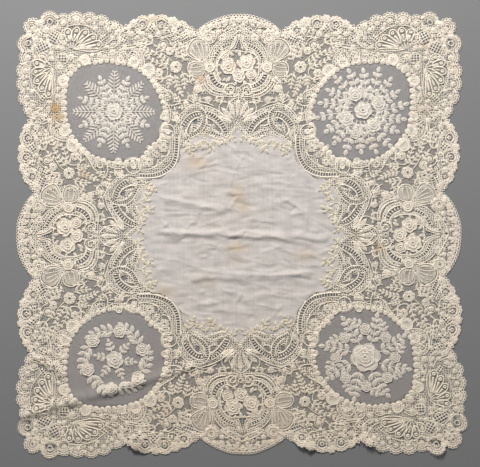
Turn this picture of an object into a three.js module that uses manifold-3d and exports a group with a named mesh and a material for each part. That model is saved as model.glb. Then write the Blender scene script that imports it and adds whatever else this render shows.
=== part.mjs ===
// Lace handkerchief: a square of fine linen inside a deep scalloped border of needle lace, with a
// medallion of sheer net let into each corner. It lies open and face up on a flat surface.
// Millimetres, +Z up. The origin is the middle of the cloth's underside. The pattern is drawn once,
// in the half of the north side between the side's middle and the corner, and repeated by symmetry.
import * as THREE from "three";
import { mergeVertices } from "three/addons/utils/BufferGeometryUtils.js";
import Module from "manifold-3d";

const wasm = await Module();
wasm.setup();

// ---- Driving dimensions -------------------------------------------------------------------------
const HALF_SIDE = 222; // from the middle to the tip of a side's middle scallop
const CORNER_REACH = 208.5; // from the middle to a corner lobe's centre, along each side
const NET_TOP = 1.0; // the net ground and the plain linen lie from 0 up to this
const LOW_TOP = 1.5; // flowers, leaves and fan rays
const HIGH_TOP = 1.9; // frames, ribbons and scrolls, with their raised edge cords
const SEAM_GAP = 0.3; // between the pieces, where they are sewn edge to edge
const SEWN_OVER = NET_TOP + SEAM_GAP; // underside of the lace that is sewn over the linen
const RIM_OVERLAP = 3.5; // how far the lace's inner rim covers the linen's edge
const BOX_CENTRE = { x: 0.51, y: 0.13 }; // middle of the drifted outline, moved to the origin

// How far the cloth is pulled out of its true square, at its corners, mid-sides and middle.
const DRIFT = [
  { column: -1, row: 1, x: 0.0, y: 0.5 },
  { column: 0, row: 1, x: -1.5, y: -0.5 },
  { column: 1, row: 1, x: -1.5, y: 0.0 },
  { column: -1, row: 0, x: -3.0, y: -1.0 },
  { column: 0, row: 0, x: -2.5, y: -1.0 },
  { column: 1, row: 0, x: -0.5, y: 1.0 },
  { column: -1, row: -1, x: 0.5, y: -1.0 },
  { column: 0, row: -1, x: 2.5, y: 2.0 },
  { column: 1, row: -1, x: 4.5, y: 3.5 },
];

// Creases that stand up from the surface, each a soft ridge along a line: its ends, half width, rise.
const RIDGES = [
  { name: "corner pleat, rim", x0: -222, y0: -181, x1: -160, y1: -163, half: 9, rise: 4.2 },
  { name: "corner pleat, medallion", x0: -150, y0: -161, x1: -78, y1: -140, half: 8, rise: 3.4 },
  { name: "corner pleat, frame", x0: -78, y0: -139, x1: -34, y1: -127, half: 7, rise: 2.2 },
  { name: "corner pleat, linen edge", x0: -34, y0: -124, x1: 20, y1: -116, half: 6, rise: 2.0 },
  { name: "fan top pucker", x0: -205, y0: -122, x1: -178, y1: -138, half: 8, rise: 2.6 },
  { name: "middle crease", x0: -74, y0: 2, x1: 84, y1: -3, half: 6, rise: 1.8 },
  { name: "lower crease", x0: -46, y0: -43, x1: 66, y1: -40, half: 6, rise: 1.4 },
  { name: "upper crease", x0: -74, y0: 35, x1: -18, y1: 25, half: 6, rise: 1.3 },
];

// Places where the edge stands off the surface: middle, half sizes along x and y, rise.
const LIFTS = [
  { name: "south edge, west", x: -104, y: -206, halfX: 17, halfY: 20, rise: 5.5 },
  { name: "south edge, east", x: 64, y: -213, halfX: 18, halfY: 17, rise: 4.5 },
  { name: "south notch, east", x: 128, y: -212, halfX: 19, halfY: 16, rise: 5.0 },
  { name: "south-east corner", x: 200, y: -220, halfX: 17, halfY: 15, rise: 3.5 },
];

// ---- The surface that the cloth lies on ---------------------------------------------------------
const ease = (t) => (t < 1 ? 0.5 + 0.5 * Math.cos(Math.PI * t) : 0);

function ridgeHeight(ridge, x, y) {
  const alongX = ridge.x1 - ridge.x0;
  const alongY = ridge.y1 - ridge.y0;
  const share = ((x - ridge.x0) * alongX + (y - ridge.y0) * alongY) / (alongX ** 2 + alongY ** 2);
  const t = THREE.MathUtils.clamp(share, 0, 1);
  const away = Math.hypot(x - ridge.x0 - t * alongX, y - ridge.y0 - t * alongY);
  return ridge.rise * ease(away / ridge.half);
}

function liftHeight(lift, x, y) {
  return lift.rise * ease(Math.hypot((x - lift.x) / lift.halfX, (y - lift.y) / lift.halfY));
}

function foldHeight(x, y) {
  const ridges = RIDGES.map((ridge) => ridgeHeight(ridge, x, y));
  const lifts = LIFTS.map((lift) => liftHeight(lift, x, y));
  return Math.max(...ridges, ...lifts);
}

// ---- Symmetry and drift -------------------------------------------------------------------------
const weight = (node, t) => (node === 0 ? 1 - t * t : (t * (t + node)) / 2);

// A point of the true square, moved to where the drifted cloth has it.
function drifted(point) {
  const s = point.x / CORNER_REACH;
  const t = point.y / CORNER_REACH;
  const moved = point.clone();
  for (const node of DRIFT) {
    const share = weight(node.column, s) * weight(node.row, t);
    moved.x += node.x * share;
    moved.y += node.y * share;
  }
  return moved.sub(BOX_CENTRE);
}

// The point in one of the eight copies: turned by quarter turns, after a mirror for the odd ones.
function inCopy(point, copy) {
  const turned = new THREE.Vector2(copy % 2 ? -point.x : point.x, point.y);
  return turned.rotateAround(new THREE.Vector2(), -Math.floor(copy / 2) * (Math.PI / 2));
}

const ALL_EIGHT = [0, 3, 2, 5, 4, 7, 6, 1]; // in their order around the cloth
const ONE_PER_SIDE = [0, 2, 4, 6];

// ---- Outlines, as lists of points ---------------------------------------------------------------
const at = (x, y) => new THREE.Vector2(x, y);
const polar = (x, y, r, degrees) => {
  const a = THREE.MathUtils.degToRad(degrees);
  return at(x + r * Math.cos(a), y + r * Math.sin(a));
};

function disc(x, y, r, sides = 10) {
  return Array.from({ length: sides }, (_, i) => polar(x, y, r, (360 * (i + 0.5)) / sides));
}

function ellipse(x, y, rx, ry, sides) {
  return disc(0, 0, 1, sides).map((p) => at(x + p.x * rx, y + p.y * ry));
}

function curve(points, steps) {
  return new THREE.SplineCurve(points).getPoints(steps);
}

function closedCurve(points, steps) {
  const count = points.length;
  const wrapped = [points[count - 1], ...points, points[0], points[1]];
  const spline = new THREE.SplineCurve(wrapped);
  const from = 1 / (count + 2);
  const span = count / (count + 2);
  return Array.from({ length: steps }, (_, i) => spline.getPoint(from + (span * i) / steps));
}

// A ribbon of even width along a line of points.
function band(line, width) {
  const left = [];
  const right = [];
  line.forEach((point, i) => {
    const before = line[Math.max(i - 1, 0)];
    const after = line[Math.min(i + 1, line.length - 1)];
    const side = after.clone().sub(before).normalize().multiplyScalar(width / 2);
    left.push(at(point.x - side.y, point.y + side.x));
    right.unshift(at(point.x + side.y, point.y - side.x));
  });
  return [...left, ...right];
}

function arc(x, y, r, from, to, steps) {
  return Array.from({ length: steps + 1 }, (_, i) => polar(x, y, r, from + ((to - from) * i) / steps));
}

// A pointed leaf or petal of four sides, from its foot to its tip.
function leaf(x, y, degrees, length, width) {
  const foot = at(x, y);
  const tip = polar(x, y, length, degrees);
  const middle = foot.clone().lerp(tip, 0.45);
  const left = polar(middle.x, middle.y, width / 2, degrees + 90);
  const right = polar(middle.x, middle.y, width / 2, degrees - 90);
  return [foot, right, tip, left];
}

// A four-sided piece between two rays from a point.
function wedge({ x, y }, near, far, from, to) {
  return [polar(x, y, near, from), polar(x, y, near, to), polar(x, y, far, to), polar(x, y, far, from)];
}

// ---- Solids -------------------------------------------------------------------------------------
const BELOW = -5; // prisms reach past the cloth on both sides before they are cut by it
const ABOVE = 20;

function solidOf(geometry) {
  const bare = geometry.clone();
  bare.deleteAttribute("normal");
  bare.deleteAttribute("uv");
  const merged = mergeVertices(bare, 1e-4);
  const mesh = new wasm.Mesh({
    numProp: 3,
    vertProperties: merged.attributes.position.array,
    triVerts: new Uint32Array(merged.index.array),
  });
  return new wasm.Manifold(mesh);
}

function extruded(shape) {
  const geometry = new THREE.ExtrudeGeometry(shape, { depth: ABOVE - BELOW, bevelEnabled: false });
  return solidOf(geometry.translate(0, 0, BELOW));
}

// A tall prism over an outline, in one copy of the pattern.
function prism(outline, copy, holes = []) {
  const shape = new THREE.Shape(outline.map((p) => drifted(inCopy(p, copy))));
  for (const hole of holes) {
    shape.holes.push(new THREE.Path(hole.map((p) => drifted(inCopy(p, copy)))));
  }
  return extruded(shape);
}

const joined = (solids) => solids.reduce((sum, solid) => sum.add(solid));

function repeated(outlines, copies, holes = []) {
  return joined(copies.flatMap((copy) => outlines.map((outline) => prism(outline, copy, holes))));
}

// The triangles of a square sheet, split along the folds until they follow the surface.
const GRID = 8; // cells along a side before splitting
const GRID_HALF = HALF_SIDE + 12;
const FOLLOW = 0.6; // how far an edge may miss the surface
const SPLIT_ROUNDS = 4;

function sheetTriangles() {
  const points = [];
  const cell = (2 * GRID_HALF) / GRID;
  for (let row = 0; row <= GRID; row += 1) {
    for (let column = 0; column <= GRID; column += 1) {
      points.push(at(column * cell - GRID_HALF, row * cell - GRID_HALF));
    }
  }
  let triangles = [];
  for (let row = 0; row < GRID; row += 1) {
    for (let column = 0; column < GRID; column += 1) {
      const a = row * (GRID + 1) + column;
      const b = a + 1;
      const c = a + GRID + 1;
      const d = c + 1;
      const even = (row + column) % 2 === 0;
      triangles.push(...(even ? [[a, b, d], [a, d, c]] : [[a, b, c], [b, d, c]]));
    }
  }
  for (let round = 0; round < SPLIT_ROUNDS; round += 1) {
    triangles = splitOnFolds(points, triangles);
  }
  return { points, triangles };
}

// How far the straight edge between two points misses the surface, at the worst place along it.
function missedBy(a, b) {
  const from = foldHeight(a.x, a.y);
  const to = foldHeight(b.x, b.y);
  const misses = [1, 2, 3, 4, 5, 6, 7].map((eighth) => {
    const p = a.clone().lerp(b, eighth / 8);
    return Math.abs(foldHeight(p.x, p.y) - from - ((to - from) * eighth) / 8);
  });
  return Math.max(...misses);
}

// Halves each edge that misses the surface. Both triangles at an edge see the same halves.
function splitOnFolds(points, triangles) {
  const middles = new Map();
  const middleOf = (i, j) => {
    const key = i < j ? `${i},${j}` : `${j},${i}`;
    if (!middles.has(key)) {
      const miss = missedBy(points[i], points[j]) > FOLLOW;
      middles.set(key, miss ? points.push(points[i].clone().lerp(points[j], 0.5)) - 1 : -1);
    }
    return middles.get(key);
  };
  return triangles.flatMap(([a, b, c]) => {
    const ab = middleOf(a, b);
    const bc = middleOf(b, c);
    const ca = middleOf(c, a);
    const outline = [a, ab, b, bc, c, ca].filter((i) => i >= 0);
    if (outline.length === 6) {
      return [[a, ab, ca], [ab, b, bc], [ca, bc, c], [ab, bc, ca]];
    }
    const start = [ab, bc, ca].find((i) => i >= 0);
    if (start === undefined) {
      return [[a, b, c]];
    }
    const turn = outline.indexOf(start);
    const ring = [...outline.slice(turn), ...outline.slice(0, turn)];
    return ring.slice(1, -1).map((vertex, i) => [ring[0], vertex, ring[i + 2]]);
  });
}

const SHEET = sheetTriangles();

// A layer of the folded cloth, between two heights above its underside.
function layer(low, high) {
  const { points, triangles } = SHEET;
  const count = points.length;
  const position = [low, high].flatMap((height) =>
    points.flatMap((p) => [p.x, p.y, foldHeight(p.x, p.y) + height]),
  );
  const index = triangles.flatMap(([a, b, c]) => [a, c, b, a + count, b + count, c + count]);
  const edges = new Map();
  for (const [a, b, c] of triangles) {
    for (const [i, j] of [[a, b], [b, c], [c, a]]) {
      if (!edges.delete(`${j},${i}`)) edges.set(`${i},${j}`, [i, j]);
    }
  }
  for (const [i, j] of edges.values()) {
    index.push(i, j, j + count, i, j + count, i + count);
  }
  const geometry = new THREE.BufferGeometry();
  geometry.setAttribute("position", new THREE.Float32BufferAttribute(position, 3));
  geometry.setIndex(index);
  return solidOf(geometry);
}

function meshOf(name, solid, material) {
  const { numProp, vertProperties, triVerts } = solid.getMesh();
  const geometry = new THREE.BufferGeometry();
  geometry.setAttribute("position", new THREE.BufferAttribute(vertProperties, numProp));
  geometry.setIndex(new THREE.BufferAttribute(triVerts, 1));
  geometry.computeVertexNormals();
  const mesh = new THREE.Mesh(geometry, material);
  mesh.name = name;
  return mesh;
}

// ---- The pattern: outer edge, linen edge and medallion openings ---------------------------------
// Round lobes along the outer edge of half a side, from its middle scallop to the corner. Where two
// neighbours cross, the edge has a notch.
const EDGE_LOBES = [
  { x: 0, y: 149.5, r: 72.5, steps: 6 },
  { x: 52, y: 204, r: 5, steps: 2 },
  { x: 59, y: 206.5, r: 7.5, steps: 3 },
  { x: 67, y: 211, r: 5, steps: 2 },
  { x: 77, y: 212, r: 8, steps: 3 },
  { x: 86.5, y: 215, r: 5.5, steps: 3 },
  { x: 96, y: 211.5, r: 8, steps: 3 },
  { x: 105, y: 210, r: 5.5, steps: 2 },
  { x: 112, y: 205, r: 7, steps: 3 },
  { x: 126, y: 206.5, r: 8, steps: 3 },
  { x: 138, y: 212.5, r: 8, steps: 3 },
  { x: 151, y: 214.5, r: 8.5, steps: 3 },
  { x: 164, y: 214.5, r: 8.5, steps: 3 },
  { x: 177, y: 212, r: 8.5, steps: 3 },
  { x: 191, y: 212, r: 10, steps: 3 },
  { x: 208, y: 208, r: 9, steps: 3 },
];

// The linen's edge, in half a side: the lace's inner rim follows it.
const LINEN_EDGE = [
  at(0, 108),
  at(4, 104.5),
  at(10, 99),
  at(20, 97),
  at(36, 101),
  at(49, 94.5),
  at(56.5, 86),
  at(58, 76),
  at(66, 66),
];

// A medallion's opening, from the inner corner to the outer one. It mirrors in the diagonal.
const OPENING = [
  at(88, 88),
  at(78, 97),
  at(75, 107),
  at(73.5, 118),
  at(77, 137),
  at(84.5, 151),
  at(95, 161.5),
  at(108, 169),
  at(130, 172.5),
  at(152, 171),
  at(164, 164),
];
const OPENING_STEPS = 26;
const MEDALLION = at(124, 124); // a medallion's middle, in the north-east corner

const mirrored = (points) => points.slice(1, -1).map((p) => at(p.y, p.x)).reverse();

// A prism over one outline around the whole cloth, from a half side that all eight copies share.
function prismAround(half) {
  const points = ALL_EIGHT.flatMap((copy) => {
    const part = copy % 2 ? half.slice(1).reverse() : half.slice(0, -1);
    return part.map((p) => drifted(inCopy(p, copy)));
  });
  return extruded(new THREE.Shape(points));
}

// Where the circles of two neighbouring lobes cross, on the outer side.
function notchBetween(lobe, next) {
  const across = at(next.x - lobe.x, next.y - lobe.y);
  const apart = across.length();
  const along = (apart ** 2 + lobe.r ** 2 - next.r ** 2) / (2 * apart);
  const outwards = Math.sqrt(lobe.r ** 2 - along ** 2);
  const reach = at(along, outwards).rotateAround(at(0, 0), across.angle());
  return reach.add(at(lobe.x, lobe.y));
}

function clothOutline() {
  const half = EDGE_LOBES.flatMap((lobe, i) => {
    const before = EDGE_LOBES[i - 1];
    const next = EDGE_LOBES[i + 1];
    const angleOf = (p) => THREE.MathUtils.radToDeg(Math.atan2(p.y - lobe.y, p.x - lobe.x));
    const from = before ? angleOf(notchBetween(before, lobe)) : 90;
    const to = next ? angleOf(notchBetween(lobe, next)) : 45;
    const edge = arc(lobe.x, lobe.y, lobe.r, from, to, lobe.steps);
    return next ? edge.slice(0, -1) : edge;
  });
  return prismAround(half);
}

// The linen's outline, moved outwards by some distance along the line from the middle.
function linenOutline(outwards) {
  return prismAround(LINEN_EDGE.map((p) => p.clone().setLength(p.length() + outwards)));
}

// A medallion's opening, drawn inwards on all sides by some distance.
function opening(copy, inset) {
  const half = OPENING.map((p) => {
    const outwards = p.clone().sub(MEDALLION);
    return MEDALLION.clone().add(outwards.setLength(outwards.length() - inset));
  });
  return prism(closedCurve([...half, ...mirrored(half)], OPENING_STEPS), copy);
}

// ---- The pattern: what stands up from the net, in half a side -----------------------------------
const CARTOUCHE = { x: 0, y: 168.5, rx: 25, ry: 27.5, width: 9, sides: 14 };
const CLASP = { x: 28, y: 168.5, width: 8, height: 11 };
const BOW_KNOT = at(33, 173);
const BOW_LOOP = [
  at(29.5, 171.5),
  at(26, 183),
  at(27, 191),
  at(35, 196.5),
  at(45, 195.5),
  at(51, 187),
  at(51, 179),
  at(42, 174.5),
];
const BOW_WINDOWS = [
  { near: 8, far: 18, from: 98, to: 88 },
  { near: 8, far: 20, from: 80, to: 66 },
  { near: 9, far: 20, from: 58, to: 44 },
];
const LOW_BOW_LOOP = [at(30, 170), at(39, 172), at(47.5, 168.5), at(46, 160), at(39, 156), at(33.5, 161)];

// Ribbons and scrolls: the line each follows, its width, and how many steps it is drawn in.
const SCROLLS = [
  { line: [at(6, 103), at(16, 113), at(24, 121), at(33, 125)], width: 8, steps: 4 },
  { line: [at(33, 127), at(43, 126), at(52, 118), at(58, 106), at(58.5, 96)], width: 9, steps: 5 },
  { line: [at(92, 158), at(80, 149), at(68, 142), at(63, 134), at(69, 130)], width: 4.5, steps: 4 },
  { line: [at(117, 196), at(124, 188), at(140, 183), at(168, 182.5)], width: 5, steps: 4 },
];
// The ribbon around the linen's corner scallop, from its end to the diagonal.
const CORNER_RIBBON = { x: 88.5, y: 88.5, r: 31, width: 9, from: 165, to: 226, steps: 4 };

// The fan's rays: long loops from the fan's foot out to the round eye that each one ends in.
const FAN_FOOT = at(167, 186);
const FAN_EYES = [
  { x: 139.5, y: 191 },
  { x: 146, y: 196.5 },
  { x: 153.5, y: 200.5 },
  { x: 162.5, y: 203 },
  { x: 171.5, y: 202.5 },
];
const FAN_RAY = { eyeRadius: 3.2, footWidth: 1.6 };

const FLOWERS = [
  { x: 28, y: 200, r: 7.5, sides: 8 },
  { x: 61, y: 168, r: 6.5, sides: 7 },
  { x: 86, y: 163, r: 6.5, sides: 7 },
  { x: 10, y: 174, r: 8, sides: 8 },
  { x: 66.5, y: 103.5, r: 6.5, sides: 7 },
];
const LEAVES = [
  { x: 62, y: 160, degrees: 260, length: 15, width: 5 },
  { x: 66, y: 176, degrees: 60, length: 13, width: 5 },
  { x: 84, y: 188, degrees: 10, length: 14, width: 5 },
  { x: 30, y: 134, degrees: 30, length: 13, width: 5 },
];
const SHELL = [at(-11, 122), at(-7, 111), at(7, 111), at(11, 122), at(6, 130), at(0, 133), at(-6, 130)];
const CORNER_ROSETTE = { x: 180, y: 180, r: 7, sides: 8 };

// Toothed leaves that are sewn onto the linen, in half a side.
const LINEN_LEAVES = [
  [at(52, 90), at(44, 97), at(35, 95), at(31, 87), at(38, 91), at(46, 90)],
  [at(30, 100), at(21, 95), at(18, 86), at(28, 81), at(25, 90)],
];

function cartoucheRing() {
  const { x, y, rx, ry, width, sides } = CARTOUCHE;
  const outer = ellipse(x, y, rx + width / 2, ry + width / 2, sides);
  const inner = ellipse(x, y, rx - width / 2, ry - width / 2, sides);
  return repeated([outer], ONE_PER_SIDE, [inner]);
}

function clasps() {
  const { x, y, width, height } = CLASP;
  const left = x - width / 2;
  const right = x + width / 2;
  const low = y - height / 2;
  const high = y + height / 2;
  return repeated([[at(left, low), at(right, low), at(right, high), at(left, high)]], ALL_EIGHT);
}

function bows() {
  const windows = BOW_WINDOWS.map((w) => wedge(BOW_KNOT, w.near, w.far, w.from, w.to));
  const upper = repeated([BOW_LOOP], ALL_EIGHT, windows);
  return upper.add(repeated([LOW_BOW_LOOP], ALL_EIGHT));
}

function scrolls() {
  const { x, y, r, width, from, to, steps } = CORNER_RIBBON;
  const bands = SCROLLS.map((scroll) => band(curve(scroll.line, scroll.steps), scroll.width));
  return repeated([...bands, band(arc(x, y, r, from, to, steps), width)], ALL_EIGHT);
}

function fanRay(eye) {
  const centre = at(eye.x, eye.y);
  const outwards = THREE.MathUtils.radToDeg(centre.clone().sub(FAN_FOOT).angle());
  const { eyeRadius, footWidth } = FAN_RAY;
  const tip = [-70, 0, 70].map((turn) => polar(eye.x, eye.y, eyeRadius, outwards + turn));
  const foot = [90, -90].map((turn) => polar(FAN_FOOT.x, FAN_FOOT.y, footWidth / 2, outwards + turn));
  return [...tip, ...foot];
}

// The rim that runs around a medallion's opening; the opening is cut out of it later.
const RIM_WIDTH = 4.5;
const medallionRims = () => joined(ONE_PER_SIDE.map((copy) => opening(copy, -RIM_WIDTH)));

function highRelief() {
  return joined([cartoucheRing(), clasps(), bows(), scrolls(), medallionRims()]);
}

function lowRelief() {
  const flowers = FLOWERS.map((flower) => disc(flower.x, flower.y, flower.r, flower.sides));
  const leaves = LEAVES.map((l) => leaf(l.x, l.y, l.degrees, l.length, l.width));
  const inHalfSides = repeated([...flowers, ...leaves, ...FAN_EYES.map(fanRay)], ALL_EIGHT);
  const { x, y, r, sides } = CORNER_ROSETTE;
  return inHalfSides.add(repeated([SHELL, disc(x, y, r, sides)], ONE_PER_SIDE));
}

// ---- The pieces ---------------------------------------------------------------------------------
const RELIEF_FROM = 0.4; // relief starts inside the net's thickness, so that the two are one

function linenCentre() {
  return layer(0, NET_TOP).intersect(linenOutline(0));
}

function laceBorder() {
  const openings = joined(ONE_PER_SIDE.map((copy) => opening(copy, 0)));
  const covered = linenOutline(SEAM_GAP);
  const outline = clothOutline();
  const rim = linenOutline(RIM_OVERLAP).subtract(linenOutline(-RIM_OVERLAP));
  const ground = layer(0, NET_TOP).intersect(outline);
  const high = layer(RELIEF_FROM, HIGH_TOP).intersect(highRelief().add(rim));
  const low = layer(RELIEF_FROM, LOW_TOP).intersect(lowRelief());
  const beside = ground.add(high).add(low).intersect(outline).subtract(covered);
  const over = layer(SEWN_OVER, HIGH_TOP).intersect(rim.add(repeated(LINEN_LEAVES, ALL_EIGHT)));
  return beside.add(over).subtract(openings);
}

// ---- Medallions: a net panel with a spray of its own ---------------------------------------------
// The sprays, about the medallion's middle: round flowers, petals and leaves in rings, and garlands.
const SPRAYS = {
  fern_star: {
    flowers: [{ x: 0, y: 0, r: 9 }],
    rings: [
      { count: 8, foot: 7, length: 27, width: 9, turn: 0 },
      { count: 8, foot: 8, length: 17, width: 6, turn: 22.5 },
    ],
  },
  bouquet: {
    flowers: [
      { x: 0, y: 0, r: 9.5 },
      { x: -14, y: -8, r: 7.5 },
      { x: 8, y: -15, r: 7.5 },
      { x: -4, y: 15, r: 7 },
      { x: 15, y: 4, r: 7 },
      { x: -18, y: 8, r: 6 },
    ],
    rings: [{ count: 13, foot: 12, length: 21, width: 7, turn: 8 }],
  },
  wreath: {
    flowers: [
      { x: 0, y: 0, r: 7.5 },
      { x: -27, y: 4, r: 6.5 },
      { x: 4, y: -27, r: 6.5 },
      { x: 21, y: 18, r: 5.5 },
      { x: -17, y: -19, r: 5.5 },
    ],
    rings: [{ count: 4, foot: 5, length: 12, width: 5, turn: 45 }],
    garland: { r: 27, width: 7, from: -215, to: 35 },
  },
  great_rose: {
    flowers: [{ x: 0, y: 0, r: 15 }],
    rings: [{ count: 12, foot: 12, length: 20, width: 9, turn: 0 }],
    garland: { r: 29, width: 6, from: 0, to: 360 },
  },
};

function sprayPieces(spray) {
  const { x, y } = MEDALLION;
  const flowers = spray.flowers.map((flower) => disc(x + flower.x, y + flower.y, flower.r));
  const petals = spray.rings.flatMap((ring) =>
    Array.from({ length: ring.count }, (_, i) => {
      const degrees = ring.turn + (360 * i) / ring.count;
      const foot = polar(x, y, ring.foot, degrees);
      return leaf(foot.x, foot.y, degrees, ring.length, ring.width);
    }),
  );
  return [...flowers, ...petals];
}

function medallion(spray, copy) {
  const panel = opening(copy, SEAM_GAP);
  let raised = repeated(sprayPieces(spray), [copy]);
  if (spray.garland) {
    const { r, width, from, to } = spray.garland;
    const ring = arc(MEDALLION.x, MEDALLION.y, r, from, to - 1, 24);
    raised = raised.add(repeated([band(ring, width)], [copy]));
  }
  const net = layer(0, NET_TOP).intersect(panel);
  return net.add(layer(RELIEF_FROM, LOW_TOP).intersect(raised));
}

// ---- The whole handkerchief ----------------------------------------------------------------------
const linenMaterial = new THREE.MeshStandardMaterial({ color: 0xd3cec9, roughness: 0.85, metalness: 0 });
const laceMaterial = new THREE.MeshStandardMaterial({ color: 0xe9dfc8, roughness: 0.9, metalness: 0 });
const netMaterial = new THREE.MeshStandardMaterial({ color: 0xddd4c6, roughness: 0.9, metalness: 0 });

const handkerchief = new THREE.Group();
handkerchief.add(meshOf("linen_centre", linenCentre(), linenMaterial));
handkerchief.add(meshOf("lace_border", laceBorder(), laceMaterial));
handkerchief.add(meshOf("medallion_ne", medallion(SPRAYS.bouquet, 0), netMaterial));
handkerchief.add(meshOf("medallion_se", medallion(SPRAYS.great_rose, 2), netMaterial));
handkerchief.add(meshOf("medallion_sw", medallion(SPRAYS.wreath, 4), netMaterial));
handkerchief.add(meshOf("medallion_nw", medallion(SPRAYS.fern_star, 6), netMaterial));

export default handkerchief;
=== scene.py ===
import math
from collections import namedtuple

import bpy
import numpy as np
from mathutils.geometry import delaunay_2d_cdt
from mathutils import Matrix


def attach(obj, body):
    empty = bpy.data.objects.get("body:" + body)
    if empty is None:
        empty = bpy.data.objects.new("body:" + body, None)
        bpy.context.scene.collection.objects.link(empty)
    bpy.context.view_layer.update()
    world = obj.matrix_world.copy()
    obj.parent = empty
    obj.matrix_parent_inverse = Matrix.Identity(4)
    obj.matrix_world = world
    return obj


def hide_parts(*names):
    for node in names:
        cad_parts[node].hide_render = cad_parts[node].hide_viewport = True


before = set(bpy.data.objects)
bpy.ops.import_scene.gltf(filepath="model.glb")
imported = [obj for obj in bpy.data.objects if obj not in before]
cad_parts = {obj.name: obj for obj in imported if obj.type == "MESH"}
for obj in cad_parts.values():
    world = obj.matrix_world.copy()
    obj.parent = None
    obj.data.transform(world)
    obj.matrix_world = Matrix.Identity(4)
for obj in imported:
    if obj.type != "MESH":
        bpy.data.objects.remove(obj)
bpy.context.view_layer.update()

# ---- The linen centre ---------------------------------------------------------------------------
# One piece of fine plain-woven linen with a scalloped outline, cut out under the lace's inner rim.
# It is washed and pressed, with soft creases that run mostly from side to side, and a few stains.
MM = 0.001
CORNER_REACH = 208.5  # from the middle to a corner lobe's centre, along each side
BOX_CENTRE = np.array([0.51, 0.13])  # middle of the drifted outline, moved to the origin

# How far the cloth is pulled out of its true square, at its corners, mid-sides and middle.
Pull = namedtuple("Pull", "column row x y")
PULLS = [
    Pull(-1, 1, 0.0, 0.5),
    Pull(0, 1, -1.5, -0.5),
    Pull(1, 1, -1.5, 0.0),
    Pull(-1, 0, -3.0, -1.0),
    Pull(0, 0, -2.5, -1.0),
    Pull(1, 0, -0.5, 1.0),
    Pull(-1, -1, 0.5, -1.0),
    Pull(0, -1, 2.5, 2.0),
    Pull(1, -1, 4.5, 3.5),
]

# Soft ridges along a line, as in the solids: its ends, half width and rise.
Ridge = namedtuple("Ridge", "x0 y0 x1 y1 half rise")
RIDGES = [
    Ridge(-222, -181, -160, -163, 9, 4.2),
    Ridge(-150, -161, -78, -140, 8, 3.4),
    Ridge(-78, -139, -34, -127, 7, 2.2),
    Ridge(-34, -124, 20, -116, 6, 2.0),
    Ridge(-205, -122, -178, -138, 8, 2.6),
    Ridge(-74, 2, 84, -3, 6, 1.8),
    Ridge(-46, -43, 66, -40, 6, 1.4),
    Ridge(-74, 35, -18, 25, 6, 1.3),
]
# Places where the edge stands off the surface: middle, half sizes, rise.
Lift = namedtuple("Lift", "x y half_x half_y rise")
LIFTS = [
    Lift(-104, -206, 17, 20, 5.5),
    Lift(64, -213, 18, 17, 4.5),
    Lift(128, -212, 19, 16, 5.0),
    Lift(200, -220, 17, 15, 3.5),
]


def eased(t):
    """Falls smoothly from 1 at the middle to 0 at the edge, where t is 1."""
    return np.where(t < 1, 0.5 + 0.5 * np.cos(np.pi * np.minimum(t, 1)), 0.0)


def along_ridge(ridge, x, y):
    """A ridge's height at each place, round along its line and at its ends."""
    run_x, run_y = ridge.x1 - ridge.x0, ridge.y1 - ridge.y0
    share = ((x - ridge.x0) * run_x + (y - ridge.y0) * run_y) / (run_x**2 + run_y**2)
    t = np.clip(share, 0, 1)
    away = np.hypot(x - ridge.x0 - t * run_x, y - ridge.y0 - t * run_y)
    return ridge.rise * eased(away / ridge.half)


def fold_height(x, y):
    """The height of the cloth's underside above the surface that it lies on."""
    heights = [along_ridge(ridge, x, y) for ridge in RIDGES]
    for lift in LIFTS:
        away = np.hypot((x - lift.x) / lift.half_x, (y - lift.y) / lift.half_y)
        heights.append(lift.rise * eased(away))
    return np.max(heights, axis=0)


def ripples(x, y, seed, shortest, longest, stretch=1.0, waves=22):
    """Smooth unevenness of about one unit, from many weak waves in all directions."""
    rng = np.random.default_rng(seed)
    total = np.zeros_like(x, dtype=float)
    for _ in range(waves):
        length = rng.uniform(shortest, longest)
        turn = rng.uniform(0, 2 * math.pi)
        phase = rng.uniform(0, 2 * math.pi)
        along = x * math.cos(turn) / stretch + y * math.sin(turn)
        total += np.sin(along * 2 * math.pi / length + phase)
    return total / math.sqrt(waves)


HAND_DRIFT = 0.4  # how far the handwork strays from its pattern


def weight(node, t):
    """A pull's share at t, where the nodes stand at -1, 0 and 1."""
    return 1 - t * t if node == 0 else t * (t + node) / 2


def drifted(xy):
    """Points of the true square, moved to where the pulled and hand-worked cloth has them."""
    s, t = xy[:, 0] / CORNER_REACH, xy[:, 1] / CORNER_REACH
    moved = xy.astype(float).copy()
    for pull in PULLS:
        share = weight(pull.column, s) * weight(pull.row, t)
        moved += np.column_stack([pull.x * share, pull.y * share])
    unevenness = [HAND_DRIFT * ripples(*xy.T, seed, shortest=18, longest=55) for seed in (3, 4)]
    return moved + np.column_stack(unevenness) - BOX_CENTRE


def in_copy(xy, copy):
    """The same points in one of the eight copies of the half side."""
    x, y = xy.T
    if copy % 2:
        x = -x
    for _ in range(copy // 2):
        x, y = y, -x
    return np.column_stack([x, y])


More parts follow.
